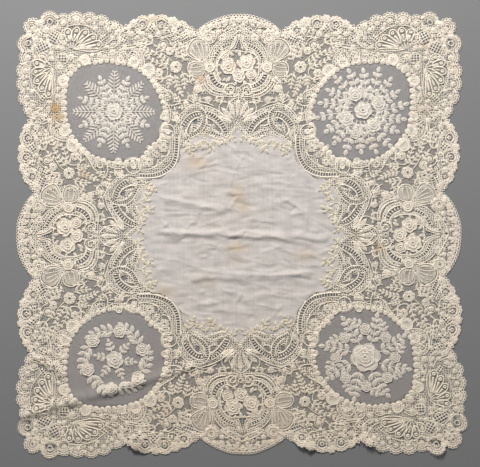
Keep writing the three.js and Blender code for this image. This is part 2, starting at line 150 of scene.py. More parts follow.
def smooth_line(points, step=1.4, closed=False):
    """Points at even steps along a smooth curve through the given ones."""
    p = np.asarray(points, float)
    if closed:
        q = np.vstack([p[-1:], p, p[:2]])
    else:
        q = np.vstack([2 * p[0] - p[1], p, 2 * p[-1] - p[-2]])
    a, b, c, d = q[:-3, None], q[1:-2, None], q[2:-1, None], q[3:, None]
    t = (np.arange(8) / 8)[None, :, None]
    bend = (2 * a - 5 * b + 4 * c - d) * t**2 + (3 * b - a - 3 * c + d) * t**3
    fine = (0.5 * (2 * b + (c - a) * t + bend)).reshape(-1, 2)
    fine = np.vstack([fine, p[:1] if closed else p[-1:]])
    reach = np.concatenate([[0], np.cumsum(np.linalg.norm(np.diff(fine, axis=0), axis=1))])
    count = max(round(reach[-1] / step), 4 if closed else 1)
    at = np.linspace(0, reach[-1], count + 1)
    line = np.column_stack([np.interp(at, reach, fine[:, i]) for i in (0, 1)])
    return line[:-1] if closed else line


LINEN_EDGE = [
    (0, 108), (4, 104.5), (10, 99), (20, 97), (36, 101), (49, 94.5), (56.5, 86), (58, 76), (66, 66),
]
AROUND = (0, 3, 2, 5, 4, 7, 6, 1)  # the copies in their order around the cloth


def around_cloth(half, outwards=0.0):
    """One closed outline around the cloth, from the half side that all eight copies share."""
    half = np.asarray(half, float)
    half = half * (1 + outwards / np.linalg.norm(half, axis=1, keepdims=True))
    runs = [in_copy(half[1:][::-1] if copy % 2 else half[:-1], copy) for copy in AROUND]
    return drifted(np.vstack(runs))


def leftwards(loop):
    """The same closed outline, running anticlockwise."""
    x, y = np.asarray(loop, float).T
    return loop if np.sum(x * np.roll(y, -1) - y * np.roll(x, -1)) > 0 else loop[::-1]


def cut_out(outline, windows, grid, patches=()):
    """Triangles that fill an outline round its windows, and apart from them those in its patches."""
    loops = [leftwards(loop) for loop in (outline, *windows, *patches)]
    starts = np.cumsum([0] + [len(loop) for loop in loops])
    corners = np.vstack([*loops, grid])
    faces = [list(range(a, b)) for a, b in zip(starts, starts[1:])]
    cut = delaunay_2d_cdt([tuple(p) for p in corners], [], faces, 0, 1e-4, True)
    first_patch = len(windows) + 1
    plain, patched = [], []
    for face, inside in zip(cut[2], cut[5]):
        if 0 in inside and not any(0 < loop < first_patch for loop in inside):
            (patched if len(inside) > 1 else plain).append(face)
    return np.array([tuple(p) for p in cut[0]]), np.array(plain), np.array(patched)


def sheet_between(xy, triangles, low, high):
    """A closed thin sheet over flat triangles, with a wall along each open edge."""
    used = np.unique(triangles)
    place = np.full(len(xy), -1)
    place[used] = np.arange(len(used))
    triangles, xy = place[triangles], xy[used]
    low, high = low[used], high[used]
    a, b, c = (xy[triangles[:, i]] for i in range(3))
    turns = (b[:, 0] - a[:, 0]) * (c[:, 1] - a[:, 1]) - (b[:, 1] - a[:, 1]) * (c[:, 0] - a[:, 0])
    triangles = np.where((turns < 0)[:, None], triangles[:, ::-1], triangles)
    edges = np.vstack([triangles[:, [0, 1]], triangles[:, [1, 2]], triangles[:, [2, 0]]])
    known = {tuple(edge) for edge in edges.tolist()}
    rim = np.array([edge for edge in edges.tolist() if (edge[1], edge[0]) not in known])
    n = len(xy)
    i, j = rim[:, 0], rim[:, 1]
    walls = np.vstack([np.column_stack([i, j, j + n]), np.column_stack([i, j + n, i + n])])
    points = np.vstack([np.column_stack([xy, low]), np.column_stack([xy, high])])
    return points, np.vstack([triangles[:, ::-1], triangles + n, walls])


# Old marks on the cloth, and two broad browner areas: middle, half sizes along x and y, and depth.
Stain = namedtuple("Stain", "x y half_x half_y depth")
STAINS = [
    # The first two are broad: the cloth is browner towards its bottom edge and, faintly, towards its
    # left side.
    Stain(0, -215, 300, 150, 0.2),
    Stain(-215, -30, 70, 200, 0.06),
    Stain(-186, 127, 5, 6, 0.95),
    Stain(-183, 118, 7, 5, 0.7),
    Stain(-39.5, 156, 5, 4, 0.7),
    Stain(-157, 60, 6, 5, 0.5),
    Stain(138, -13, 6, 6, 0.5),
    Stain(113, 0, 6, 5, 0.3),
    Stain(-29.5, -88, 5, 4, 0.45),
    Stain(87.5, -64, 5, 5, 0.4),
    Stain(-3, -213, 9, 5, 0.4),
    Stain(-61, -160, 6, 5, 0.3),
    Stain(184.5, 190, 8, 6, 0.25),
    Stain(183.5, 128, 8, 8, 0.25),
    Stain(129.5, 94, 8, 7, 0.2),
    Stain(-87.5, 216, 8, 5, 0.25),
    Stain(-37, 102, 6, 4, 0.3),
    Stain(-9, 168, 6, 5, 0.2),
    Stain(-12, 0, 55, 70, 0.07),
    Stain(-45, 72, 12, 8, 0.42),
    Stain(-3, 41, 8, 13, 0.42),
    Stain(2.5, 27, 8, 6, 0.4),
    Stain(-5, -13, 10, 6, 0.48),
    Stain(-5, -27, 9, 6, 0.34),
    Stain(-35, -47, 13, 8, 0.3),
    Stain(-76, -58, 12, 9, 0.32),
    Stain(65, -21, 11, 8, 0.32),
]


def stains_at(x, y):
    """The depth of the deepest mark at each place."""
    total = np.zeros_like(x)
    for stain in STAINS:
        away = np.hypot((x - stain.x) / stain.half_x, (y - stain.y) / stain.half_y)
        total = np.maximum(total, stain.depth * np.exp(-(away**2)))
    return total


def make_piece(name, points, faces, tone, openness, material):
    """A finished mesh in metres, with its tone (in places painted shade), openness and stains at each
    point.
    """
    mesh = bpy.data.meshes.new(name)
    mesh.vertices.add(len(points))
    mesh.vertices.foreach_set("co", (points * MM).astype(np.float32).ravel())
    mesh.loops.add(3 * len(faces))
    mesh.loops.foreach_set("vertex_index", faces.astype(np.int32).ravel())
    mesh.polygons.add(len(faces))
    mesh.polygons.foreach_set("loop_start", np.arange(0, 3 * len(faces), 3, dtype=np.int32))
    mesh.polygons.foreach_set("use_smooth", np.ones(len(faces), dtype=bool))
    mesh.update(calc_edges=True)
    finish = {"tone": tone, "openness": openness, "stain": stains_at(points[:, 0], points[:, 1])}
    for layer, values in finish.items():
        attribute = mesh.attributes.new(layer, "FLOAT", "POINT")
        attribute.data.foreach_set("value", values.astype(np.float32))
    mesh.materials.append(material)
    piece = bpy.data.objects.new(name, mesh)
    bpy.context.collection.objects.link(piece)
    return piece


def node(tree, kind, links=None, **values):
    """Adds a shader node. Values set its properties and sockets, and links feed its sockets."""
    made = tree.nodes.new(kind)
    for key, value in values.items():
        if hasattr(made, key):
            setattr(made, key, value)
        else:
            made.inputs[key.replace("_", " ")].default_value = value
    for key, source in (links or {}).items():
        tree.links.new(source, made.inputs[key])
    return made


def math_node(tree, operation, *values, clamp=False):
    """Adds a math node on numbers and sockets, and gives its result's socket."""
    made = tree.nodes.new("ShaderNodeMath")
    made.operation = operation
    made.use_clamp = clamp
    for socket, value in zip(made.inputs, values):
        if isinstance(value, (int, float)):
            socket.default_value = value
        else:
            tree.links.new(value, socket)
    return made.outputs[0]


def round_one(tree, factor, depth):
    """A shade that varies evenly round 1 as a noise's factor goes from 0 to 1."""
    return math_node(tree, "MULTIPLY_ADD", factor, depth, 1 - depth / 2)


def new_group(name, inputs, outputs):
    """A node group with named inputs and outputs, each a pair of a name and a socket kind."""
    group = bpy.data.node_groups.new(name, "ShaderNodeTree")
    for label, kind in inputs:
        group.interface.new_socket(label, in_out="INPUT", socket_type="NodeSocket" + kind)
    for label, kind in outputs:
        group.interface.new_socket(label, in_out="OUTPUT", socket_type="NodeSocket" + kind)
    return group, group.nodes.new("NodeGroupInput"), group.nodes.new("NodeGroupOutput")


CLOUD_DEPTH, GRAIN_DEPTH = 0.16, 0.24
RUST_BROWN = (0.60, 0.39, 0.17, 1)
RUST_STRENGTH = 1.8


def aged_colour_group():
    """Old undyed thread: its colour by tone, with faint clouds of age and rust-brown marks."""
    inputs = [("Position", "Vector"), ("Colour", "Color"), ("Tone", "Float"), ("Stain", "Float")]
    group, take, give = new_group("aged thread colour", inputs, [("Colour", "Color")])
    place = take.outputs["Position"]
    clouds = node(group, "ShaderNodeTexNoise", {"Vector": place}, Scale=45.0, Detail=4.0)
    grain = node(group, "ShaderNodeTexNoise", {"Vector": place}, Scale=900.0, Detail=2.0)
    cloud_part = round_one(group, clouds.outputs["Fac"], CLOUD_DEPTH)
    grain_part = round_one(group, grain.outputs["Fac"], GRAIN_DEPTH)
    shade = math_node(group, "MULTIPLY", cloud_part, grain_part)
    shade = math_node(group, "MULTIPLY", shade, take.outputs["Tone"])
    toned = node(group, "ShaderNodeVectorMath", {0: take.outputs["Colour"]}, operation="SCALE")
    group.links.new(shade, toned.inputs["Scale"])
    uneven = math_node(group, "MULTIPLY", take.outputs["Stain"], clouds.outputs["Fac"])
    amount = math_node(group, "MULTIPLY", uneven, RUST_STRENGTH, clamp=True)
    marked = node(group, "ShaderNodeMix", data_type="RGBA")
    group.links.new(amount, marked.inputs[0])
    group.links.new(toned.outputs[0], marked.inputs[6])
    marked.inputs[7].default_value = RUST_BROWN
    group.links.new(marked.outputs[2], give.inputs["Colour"])
    return group


WEAVE_SCALE = 900.0
SLUB_DEPTH = 0.26
WRINKLE_HEIGHT, CREASE_HEIGHT = 3.0, 22.0  # as shares of a thread's height


def plain_weave_group():
    """Fine plain-woven linen: crossing threads, some thicker, and pressed wrinkles and creases."""
    group, take, give = new_group(
        "plain linen weave", [("Position", "Vector")], [("Height", "Float"), ("Shade", "Float")]
    )
    place = take.outputs["Position"]

    def noise(stretch, **values):
        drawn_out = node(group, "ShaderNodeMapping", {"Vector": place}, Scale=stretch).outputs[0]
        return node(group, "ShaderNodeTexNoise", {"Vector": drawn_out}, **values).outputs["Fac"]

    heights, shades = [], []
    for direction, stretch in (("X", (1.0, 0.035, 1.0)), ("Y", (0.035, 1.0, 1.0))):
        wave = node(
            group, "ShaderNodeTexWave", {"Vector": place},
            bands_direction=direction, Scale=WEAVE_SCALE, Distortion=1.2, Detail=1.0,
        )
        slub = noise(stretch, Scale=620.0, Detail=3.0)
        shades.append(round_one(group, slub, SLUB_DEPTH))
        heights.append(math_node(group, "MULTIPLY", wave.outputs["Fac"], slub))
    thread = math_node(group, "MAXIMUM", *heights)
    wrinkles = noise((0.35, 1.0, 1.0), Scale=110.0, Detail=5.0)
    bold = math_node(group, "MULTIPLY", wrinkles, WRINKLE_HEIGHT)
    pressed = noise((0.4, 1.0, 1.0), Scale=48.0, Detail=2.0)
    off_middle = math_node(group, "SUBTRACT", pressed, 0.5)
    crisp = math_node(group, "MULTIPLY", math_node(group, "ABSOLUTE", off_middle), -CREASE_HEIGHT)
    creased = math_node(group, "ADD", bold, crisp)
    group.links.new(math_node(group, "ADD", thread, creased), give.inputs["Height"])
    group.links.new(math_node(group, "MULTIPLY", *shades), give.inputs["Shade"])
    return group


def cloth_material(name, colour, roughness, sheen):
    """The part that all these cloths share: a rough shader fed by the aged thread colour."""
    material = bpy.data.materials.new(name)
    material.use_nodes = True
    tree = material.node_tree
    shader = tree.nodes["Principled BSDF"]
    shader.inputs["Roughness"].default_value = roughness
    shader.inputs["Specular IOR Level"].default_value = 0.2
    shader.inputs["Sheen Weight"].default_value = sheen
    shader.inputs["Sheen Roughness"].default_value = 0.5
    place = node(tree, "ShaderNodeTexCoord").outputs["Object"]
    layers = {key: node(tree, "ShaderNodeAttribute", attribute_name=key) for key in ("tone", "stain")}
    aged = node(tree, "ShaderNodeGroup", node_tree=AGED_COLOUR)
    aged.inputs["Colour"].default_value = (*colour, 1)
    tree.links.new(place, aged.inputs["Position"])
    tree.links.new(layers["tone"].outputs["Fac"], aged.inputs["Tone"])
    tree.links.new(layers["stain"].outputs["Fac"], aged.inputs["Stain"])
    tree.links.new(aged.outputs["Colour"], shader.inputs["Base Color"])
    return material, tree, shader, place


AGED_COLOUR = aged_colour_group()
WEAVE = plain_weave_group()
LINEN_COLOUR = (0.664, 0.616, 0.584)


def linen_material():
    """Linen in the aged thread colour, with its woven shade and the height of threads and creases."""
    parts = cloth_material("fine linen", LINEN_COLOUR, roughness=0.85, sheen=0.15)
    material, tree, shader, place = parts
    weave = node(tree, "ShaderNodeGroup", {"Position": place}, node_tree=WEAVE)
    aged = shader.inputs["Base Color"].links[0].from_node
    tone = aged.inputs["Tone"].links[0].from_socket
    tree.links.new(math_node(tree, "MULTIPLY", tone, weave.outputs["Shade"]), aged.inputs["Tone"])
    bump = node(tree, "ShaderNodeBump", Strength=0.5, Distance=0.0005)
    tree.links.new(weave.outputs["Height"], bump.inputs["Height"])
    tree.links.new(bump.outputs["Normal"], shader.inputs["Normal"])
    return material


def grid_points(half, step, shift=0.0):
    """A grid over the cloth, with every other row moved by half a step."""
    rows = np.arange(-half, half + step, step)
    grid = []
    for i, y in enumerate(rows):
        grid.append(np.column_stack([rows + (i % 2) * step / 2 + shift, np.full(len(rows), y)]))
    return np.vstack(grid)


# Sharper creases than the solids hold: half width, rise or, below 0, depth, and the line.
Crease = namedtuple("Crease", "half rise points")
CREASES = [
    Crease(2.2, 0.6, [(-81, 4), (-56, 2.5), (-44, 1), (-31, 0)]),
    Crease(1.9, -0.9, [(-25, 0), (-14, -4), (1, -2.5), (5, 2)]),
    Crease(2.4, 1.0, [(3, 4), (19, 1), (34, -2), (49, -6), (69, -9)]),
    Crease(1.7, 0.5, [(-44, -12), (-20, -12.5), (-1, -12)]),
    Crease(1.6, -0.6, [(-11, -14.5), (6, -14)]),
    Crease(2.0, 0.8, [(-34, -37), (-1, -39), (29, -40), (59, -39)]),
    Crease(1.8, -0.4, [(-10, -42), (26, -43)]),
    Crease(1.9, 0.7, [(31, -10), (44, -15), (54, -19), (69, -20)]),
    Crease(2.1, 0.6, [(-81, 38), (-56, 33), (-24, 25)]),
    Crease(2.0, -0.6, [(-61, 78), (-48, 82), (-34, 84)]),
    Crease(1.8, 0.5, [(-80, 14), (-60, -2), (-48, 6), (-20, 16)]),
    Crease(1.8, 0.5, [(-86, -22), (-62, -26), (-40, -34), (-30, -44)]),
    Crease(1.8, 0.45, [(-52, 60), (-30, 66), (-8, 62)]),
    Crease(1.8, 0.45, [(8, 50), (34, 54), (62, 48)]),
    Crease(1.9, 0.5, [(20, -58), (44, -62), (70, -60)]),
    Crease(1.8, -0.4, [(-66, -58), (-40, -64), (-14, -60)]),
    Crease(1.7, 0.45, [(2, 78), (-8, 62), (-12, 44)]),
    Crease(1.7, 0.4, [(40, 30), (62, 22), (88, 24)]),
]
# The crumple: creases pressed in at random, most of them nearly from side to side.
CRUMPLE_COUNT, CRUMPLE_SEED = 280, 17
CRUMPLE_AREA = 98  # half the width of the square that they lie in
CRUMPLE_REACH, CRUMPLE_HALF, CRUMPLE_RISE = (5, 20), (1.5, 3.2), (-1.1, 1.2)
CRUMPLE_BEND = 1.2
CRUMPLE_LEAN, STEEPEST = 14, 75  # degrees: how most of them lean, and how far every fourth may
CALM_AT, CALM_OVER = 104, 16  # the creases end here, and die away over this width inside it
SOFT_WAVE = 0.2
LINEN_EASE = 0.7  # how far the creased cloth stands off, on the whole


def along_crease(points, half, x, y):
    shares = [along_ridge(Ridge(*a, *b, half, 1.0), x, y) for a, b in zip(points, points[1:])]
    return np.max(shares, axis=0)


def crumple(x, y):
    """Short pressed creases, up and down, that fade out at both ends."""
    rng = np.random.default_rng(CRUMPLE_SEED)
    total = np.zeros_like(x)
    for i in range(CRUMPLE_COUNT):
        middle_x, middle_y = rng.uniform(-CRUMPLE_AREA, CRUMPLE_AREA, 2)
        turn = math.radians(rng.normal(0, CRUMPLE_LEAN) if i % 4 else rng.uniform(-STEEPEST, STEEPEST))
        reach = rng.uniform(*CRUMPLE_REACH)
        half = rng.uniform(*CRUMPLE_HALF)
        rise = rng.uniform(*CRUMPLE_RISE)
        along = (x - middle_x) * math.cos(turn) + (y - middle_y) * math.sin(turn)
        across = (y - middle_y) * math.cos(turn) - (x - middle_x) * math.sin(turn)
        across = across - CRUMPLE_BEND * np.sin(along / reach * 2 + i)
        total += rise * eased(abs(across) / half) * eased(abs(along) / reach)
    return total


def linen_height(x, y):
    """The linen's pressed creases and faint crumple, calm near its sewn edge."""
    calm = np.clip((CALM_AT - np.maximum(abs(x), abs(y))) / CALM_OVER, 0, 1)
    sharp = sum(crease.rise * along_crease(crease.points, crease.half, x, y) for crease in CREASES)
    soft = SOFT_WAVE * ripples(x, y, seed=11, shortest=7, longest=20, stretch=2.2, waves=40)
    return calm * np.maximum(sharp + crumple(x, y) + soft + LINEN_EASE, 0)


LINEN_STEP, LINEN_GRID = 2.2, 1.5  # between points along the edge and inside it
LINEN_REACH = 112  # half the width of its grid, a little past the edge
LINEN_LOW, LINEN_HIGH = 0.05, 0.32  # the cloth's two faces, above its folds
LINEN_UNEVEN = 0.045  # how far its shade varies
linen_outline = around_cloth(smooth_line(LINEN_EDGE, LINEN_STEP))
linen_xy, linen_faces, _ = cut_out(linen_outline, [], grid_points(LINEN_REACH, LINEN_GRID))
linen_fold = fold_height(*linen_xy.T) + linen_height(*linen_xy.T)
linen_points, linen_faces = sheet_between(
    linen_xy, linen_faces, linen_fold + LINEN_LOW, linen_fold + LINEN_HIGH
)
linen = make_piece(
    "linen_centre_cloth",
    linen_points,
    linen_faces,
    tone=1 + LINEN_UNEVEN * ripples(*linen_points[:, :2].T, seed=21, shortest=4, longest=24, waves=60),
    openness=np.zeros(len(linen_points)),
    material=linen_material(),
)
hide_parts("linen_centre")
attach(linen, "root")

# ---- The border's net ground --------------------------------------------------------------------
# A ground of fine needle-made net that carries all the lace's motifs, worked in one with them. It
# ends at the linen and at the four medallion openings, and is left open under the bar stitches.
NET_LOW, NET_HIGH = 0.18, 0.42
NET_PITCH = 1.05

# The outer edge in half a side, as round lobes; where two neighbours cross, the edge has a notch.
Lobe = namedtuple("Lobe", "x y r")
EDGE_LOBES = [
    Lobe(0, 160.6, 60.8),
    Lobe(49.6, 202.4, 6.6),
    Lobe(58.6, 206.6, 7.8),
    Lobe(67, 212.6, 5.6),
    Lobe(77.4, 212, 8.2),
    Lobe(87, 215.4, 5.2),
    Lobe(97, 211.2, 8),
    Lobe(105.4, 210.2, 5.8),
    Lobe(112, 204.6, 6.2),
    Lobe(126, 206, 8.4),
    Lobe(138, 212.5, 8),
    Lobe(151, 214.5, 8.5),
    Lobe(164, 214.5, 8.5),
    Lobe(177, 212, 8.5),
    Lobe(191, 212, 10),
    Lobe(208, 208, 9),
]
LADDER_OUTER, LADDER_INNER = 2.3, 4.6  # the rows that edge the outer ladder, inside the outline


def lobed_edge(lobes, inset=0.0, step=1.5):
    """The line along the outer side of neighbouring lobes, from the middle to the corner."""
    line = []
    start = math.pi / 2
    for lobe, after in zip(lobes, [*lobes[1:], None]):
        end = math.pi / 4
        if after:
            run_x, run_y = after.x - lobe.x, after.y - lobe.y
            apart = math.hypot(run_x, run_y)
            along = (apart**2 + lobe.r**2 - after.r**2) / (2 * apart)
            end = math.atan2(run_y, run_x) + math.acos(along / lobe.r)
        steps = max(int(abs(start - end) * lobe.r / step), 2)
        r = lobe.r - inset
        for a in np.linspace(start, end, steps + 1)[:-1]:
            line.append((lobe.x + r * math.cos(a), lobe.y + r * math.sin(a)))
        if after:
            notch_x, notch_y = lobe.x + lobe.r * math.cos(end), lobe.y + lobe.r * math.sin(end)
            start = math.atan2(notch_y - after.y, notch_x - after.x)
            line.append((notch_x, notch_y - inset))
    line.append((lobe.x + r * math.cos(end), lobe.y + r * math.sin(end)))
    return np.array(line)


# The medallion's opening, from its inner to its outer end on one side of the corner's diagonal.
OPENING = [
    (88, 88), (78, 97), (75, 107), (73.5, 118), (77, 137), (84.5, 151), (95, 161.5), (108, 169),
    (130, 172.5), (152, 171), (164, 164),
]
MEDALLION = np.array([124.0, 124.0])


def medallion_outline(inset=0.0, step=2.2):
    """The whole opening, drawn in towards its middle by the inset."""
    half = np.array(OPENING, float)
    whole = np.vstack([half, half[1:-1, ::-1][::-1]])
    outwards = whole - MEDALLION
    reach = np.linalg.norm(outwards, axis=1, keepdims=True)
    return smooth_line(MEDALLION + outwards * (1 - inset / reach), step, closed=True)


# Bar stitches over open ground: the open strip's width, their pitch, if they have knots, the line.
Bars = namedtuple("Bars", "width pitch knotted points")
BARS = [
    Bars(2.9, 2.7, 1, [
        (12.5, 104.5), (14.5, 110), (17.5, 114.5), (21.5, 118.5), (26, 121.8), (31, 124),
    ]),
    Bars(3.2, 2.8, 1, [(38.5, 122), (43, 120.6), (47.2, 118), (51, 114.3), (54.8, 109.3)]),
    Bars(3.0, 2.7, 0, [(60.3, 98), (60.4, 90), (61.2, 82), (63, 75.5), (66, 70), (67.9, 67.9)]),
    Bars(2.4, 2.6, 1, [(9.5, 190.8), (14, 188.8), (18.5, 185.4), (22, 181.3), (24.6, 176.5)]),
    Bars(3.2, 2.9, 1, [(12.5, 148.3), (17, 149.3), (21.5, 152), (25, 156.3), (27.2, 161.8)]),
    Bars(1.6, 2.3, 0, [(10.5, 96.8), (15, 98.6), (20, 100.8), (26.5, 103)]),
    Bars(1.6, 2.3, 0, [
        (36.5, 127), (33.4, 123), (32.2, 117), (34, 110.6), (38, 106), (43, 102.6), (48.5, 100),
    ]),
    Bars(1.6, 2.3, 0, [(44.2, 107.5), (46, 103.5), (48.5, 101)]),
    Bars(1.8, 2.4, 0, [(53.2, 100), (54.4, 103.5), (56.5, 106)]),
    Bars(1.8, 2.4, 0, [(53.6, 93.5), (55.2, 96.6), (57.4, 98.5)]),
    Bars(1.8, 2.4, 0, [(59, 128.8), (63, 128.2), (69, 128.8)]),
    Bars(1.8, 2.4, 0, [(70, 147), (76, 148.6), (81, 151.5)]),
    Bars(1.8, 2.4, 0, [(97, 174), (101, 178.5), (103.5, 182.5)]),
    Bars(1.8, 2.4, 0, [(44, 198.5), (49.5, 195.6), (56, 193.2), (60, 191.6)]),
]

# Open lattices of crossing threads: middle, half sizes, turn in degrees, pitch.
Lattice = namedtuple("Lattice", "x y half_x half_y turn pitch")
LATTICES = [
    Lattice(87, 206.2, 5.6, 5.2, 40, 2.7),
    Lattice(115.6, 194.6, 3.0, 5.0, 30, 2.5),
    Lattice(55, 197.6, 3.6, 2.6, -30, 2.5),
    Lattice(63, 192.6, 3.8, 2.2, -28, 2.4),
    Lattice(186.6, 196, 5.8, 7.0, 30, 2.6),
    Lattice(132.8, 204.5, 2.6, 4.2, -20, 2.4),
    Lattice(136.8, 196.2, 4.6, 2.8, -35, 2.4),
    Lattice(163.5, 213.5, 2.8, 3.6, 0, 2.3),
    Lattice(104.5, 178, 3.2, 3.4, 30, 2.4),
    Lattice(114.5, 179.5, 2.8, 3.2, 60, 2.4),
    Lattice(102, 203, 4.0, 4.2, 45, 2.5),
    Lattice(72.4, 204.6, 3.0, 3.6, -10, 2.4),
    Lattice(91.6, 200.4, 2.2, 1.8, 0, 2.3),
    Lattice(38.5, 147.5, 1.8, 2.4, 20, 2.3),
    Lattice(43.2, 138.5, 1.5, 3.6, 8, 2.3),
]
CORNER_LATTICES = [Lattice(176.5, 176.5, 5.4, 5.4, 0, 2.5), Lattice(205, 205, 1.8, 4.4, -45, 2.4)]

# Small places left fully open, as closed outlines.
WINDOWS = [
    [(39.9, 115), (41.4, 117), (43.6, 116.4), (44.6, 114), (42.8, 111.6), (40.6, 112.2)],
    [(2.5, 208.4), (7, 207), (12, 206.2), (15, 203.2), (11, 204), (6, 205.6)],
    [(2.5, 204.8), (7, 201.9), (12, 199.9), (17, 197.2), (13, 197.8), (7, 199.7), (3, 202)],
    [
        (14.5, 142.2), (20, 143.2), (25, 146), (29.5, 150.8), (31.8, 157.5), (30.2, 154.9),
        (26.8, 149.6), (21.3, 145.6),
    ],
    [(56.2, 204), (56, 206.2), (58, 207.8), (60.6, 207), (60.6, 204.8), (59, 205.8), (57.4, 205)],
    [(75, 211.4), (75, 213.2), (78, 214.8), (81, 213.2), (80.6, 211.4), (79, 212.8), (76.6, 212.6)],
    [
        (94.2, 210.6), (94.2, 212.2), (97.2, 213.6), (100, 212), (99.6, 210.4), (98, 211.8),
        (96, 211.8),
    ],
    [(78.2, 201.4), (80, 203.8), (79.6, 206.8), (78, 204.8)],
    [(94.8, 201.4), (96.8, 203), (96.4, 206.6), (94.6, 204.6)],
    [(62.6, 163.4), (65.4, 161), (66.6, 157), (65.6, 152.8), (64.4, 156.4), (63.4, 160)],
    [(71.2, 158.6), (75, 155.4), (82, 155.2), (88, 158), (82, 157), (75.6, 157.4)],
    [(76, 158.6), (77.4, 159.6), (77.2, 162), (75.8, 161)],
    [(151.6, 173.4), (151.2, 177), (154, 179.2), (157.2, 177.4), (155.4, 177), (153.6, 176)],
    [
        (184.5, 210), (187, 212), (191, 212.8), (195.5, 211.6), (198, 209.6), (195, 210.2),
        (191, 210.8), (187.6, 210.2),
    ],
    [(172.8, 207), (174.4, 210.8), (178.6, 212.4), (181.4, 209.4), (178.6, 210), (175.8, 208.6)],
    [(112, 202.2), (114.6, 203.6), (114.8, 206), (112.4, 206.8)],
    [(68.4, 203.2), (67.2, 205), (68.4, 206.6), (69.8, 205)],
    [(210.6, 186.5), (212.4, 190), (212.6, 195), (211, 199.5), (211.2, 195), (211, 190.5)],
]
AXIS_WINDOWS = [
    [(0, 199.4), (-1.4, 192), (-3.6, 186), (3.6, 186), (1.4, 192)],
    [(-2.4, 217), (2.4, 217), (3, 214.6), (1.4, 215.6), (-1.4, 215.6), (-3, 214.6)],
]

# Where the ground is plain net. Elsewhere it is filled more closely, up to the motifs' edges.
NET_GAPS = [
    [
        (52.5, 178), (50.5, 172), (50.8, 162), (47, 158), (44.6, 152), (38, 149), (34, 141),
        (26, 140.5), (18, 138.5), (11, 137), (8.6, 131), (11, 122), (16, 121.5), (24, 127.5),
        (33, 131), (44, 131), (52, 127), (58, 120.5), (61, 112), (66.5, 111.6), (66.5, 116),
        (66, 126), (72, 131), (66, 134), (65, 142), (71, 150), (82, 155), (92, 163), (97.5, 173),
        (97.5, 181), (105, 188), (108, 191.5), (106, 195.5), (92, 197.4), (80, 197.6), (70, 196.6),
        (62, 190.5), (58, 184),
    ],
    [
        (162, 187.4), (152, 186.8), (140, 187.6), (138, 191), (143, 196.4), (148, 201.2), (153, 205),
        (160, 207), (167.6, 207.4), (174, 206), (179, 200.4), (179.6, 195), (172.6, 189.6),
    ],
    [(17, 103.6), (22, 104.4), (24.6, 107), (21, 110.2), (18.6, 107.5)],
    [(23.8, 112.2), (27, 111.6), (29.8, 113), (30, 116), (26.6, 115.4)],
    [(47.8, 111), (50.2, 109.6), (51.4, 106), (50.4, 102.6), (48.8, 105.4)],
    [
        (65.8, 86.5), (67.8, 86.2), (68.4, 92.8), (72, 95), (76, 95.8), (75.6, 98), (70, 97.8),
        (66, 96),
    ],
    [(69.4, 84.6), (71, 81.6), (75.2, 80.8), (75.4, 82.8), (72.6, 83.6)],
    [
        (63.5, 108), (65.5, 110), (70, 110.2), (74, 107.5), (75.2, 103), (73.6, 99.4), (70.8, 99),
        (72.4, 102.5), (71.6, 106), (68.5, 107.5), (65.5, 106.4),
    ],
    [(21, 199), (20.4, 195), (22.2, 191.2), (25.8, 189.8), (26.2, 192), (23.8, 195)],
    [
        (2.6, 216.2), (10, 215.4), (18, 213), (26, 209), (33, 204.2), (38.4, 198.8), (35.4, 197.4),
        (29.4, 202), (22.4, 206.4), (16, 208.8), (9, 210.6), (2.6, 211.4),
    ],
]
AXIS_GAPS = [
    [
        (19.5, 177), (21.6, 170), (21, 160.5), (18.5, 155), (14, 151), (7, 153.5), (0, 150),
        (-7, 153.5), (-14, 151), (-18.5, 155), (-21, 160.5), (-21.6, 170), (-19.5, 177),
        (-15.5, 182.5), (-8, 183), (8, 183), (15.5, 182.5),
    ],
]
CLOSE_FILLING, PLAIN_NET = 0.77, 1.0  # how open the closer filling and the net are
NET_FROM = 0.8  # openness at which the filling gives way to net
COARSER_FILLING = 2.1  # the filling's holes lie this much further apart than the net's
OUTLINE_STEP = 1.6
ROUND_SIDES = 10


def strip_outline(points, width):
    line = smooth_line(points, OUTLINE_STEP)
    across = to_the_left(line) * width / 2
    return np.vstack([line + across, (line - across)[::-1]])


def to_the_left(line, closed=False):
    """Unit directions to the left of a line, at each of its points."""
    ahead = np.roll(line, -1, 0) - np.roll(line, 1, 0) if closed else np.gradient(line, axis=0)
    ahead = ahead / (np.linalg.norm(ahead, axis=1, keepdims=True) + 1e-9)
    return np.column_stack([-ahead[:, 1], ahead[:, 0]])


def turned(xy, degrees):
    """Points turned anticlockwise round the origin."""
    a = math.radians(degrees)
    turn = np.array([[math.cos(a), math.sin(a)], [-math.sin(a), math.cos(a)]])
    return np.asarray(xy, float) @ turn


def round_outline(x, y, half_x, half_y=None, sides=10, turn=0.0):
    """A closed round or, with a second half size, oval outline."""
    a = np.linspace(0, 2 * math.pi, sides, endpoint=False)
    ring = np.column_stack([half_x * np.cos(a), (half_y or half_x) * np.sin(a)])
    return turned(ring, turn) + (x, y)


def in_all_copies(half, middle):
    """A half side's outlines in all eight copies, and those that lie across its line in four."""
    placed = [drifted(in_copy(outline, copy)) for copy in range(8) for outline in half]
    return placed + [drifted(in_copy(outline, copy)) for copy in (0, 2, 4, 6) for outline in middle]


def window_outlines(lattices, outlines):
    """The openings that the lattices cross, and the open ones."""
    rounds = []
    for x, y, half_x, half_y, turn, _ in lattices:
        rounds.append(round_outline(x, y, half_x, half_y, ROUND_SIDES, turn))
    return rounds + [np.array(outline, float) for outline in outlines]


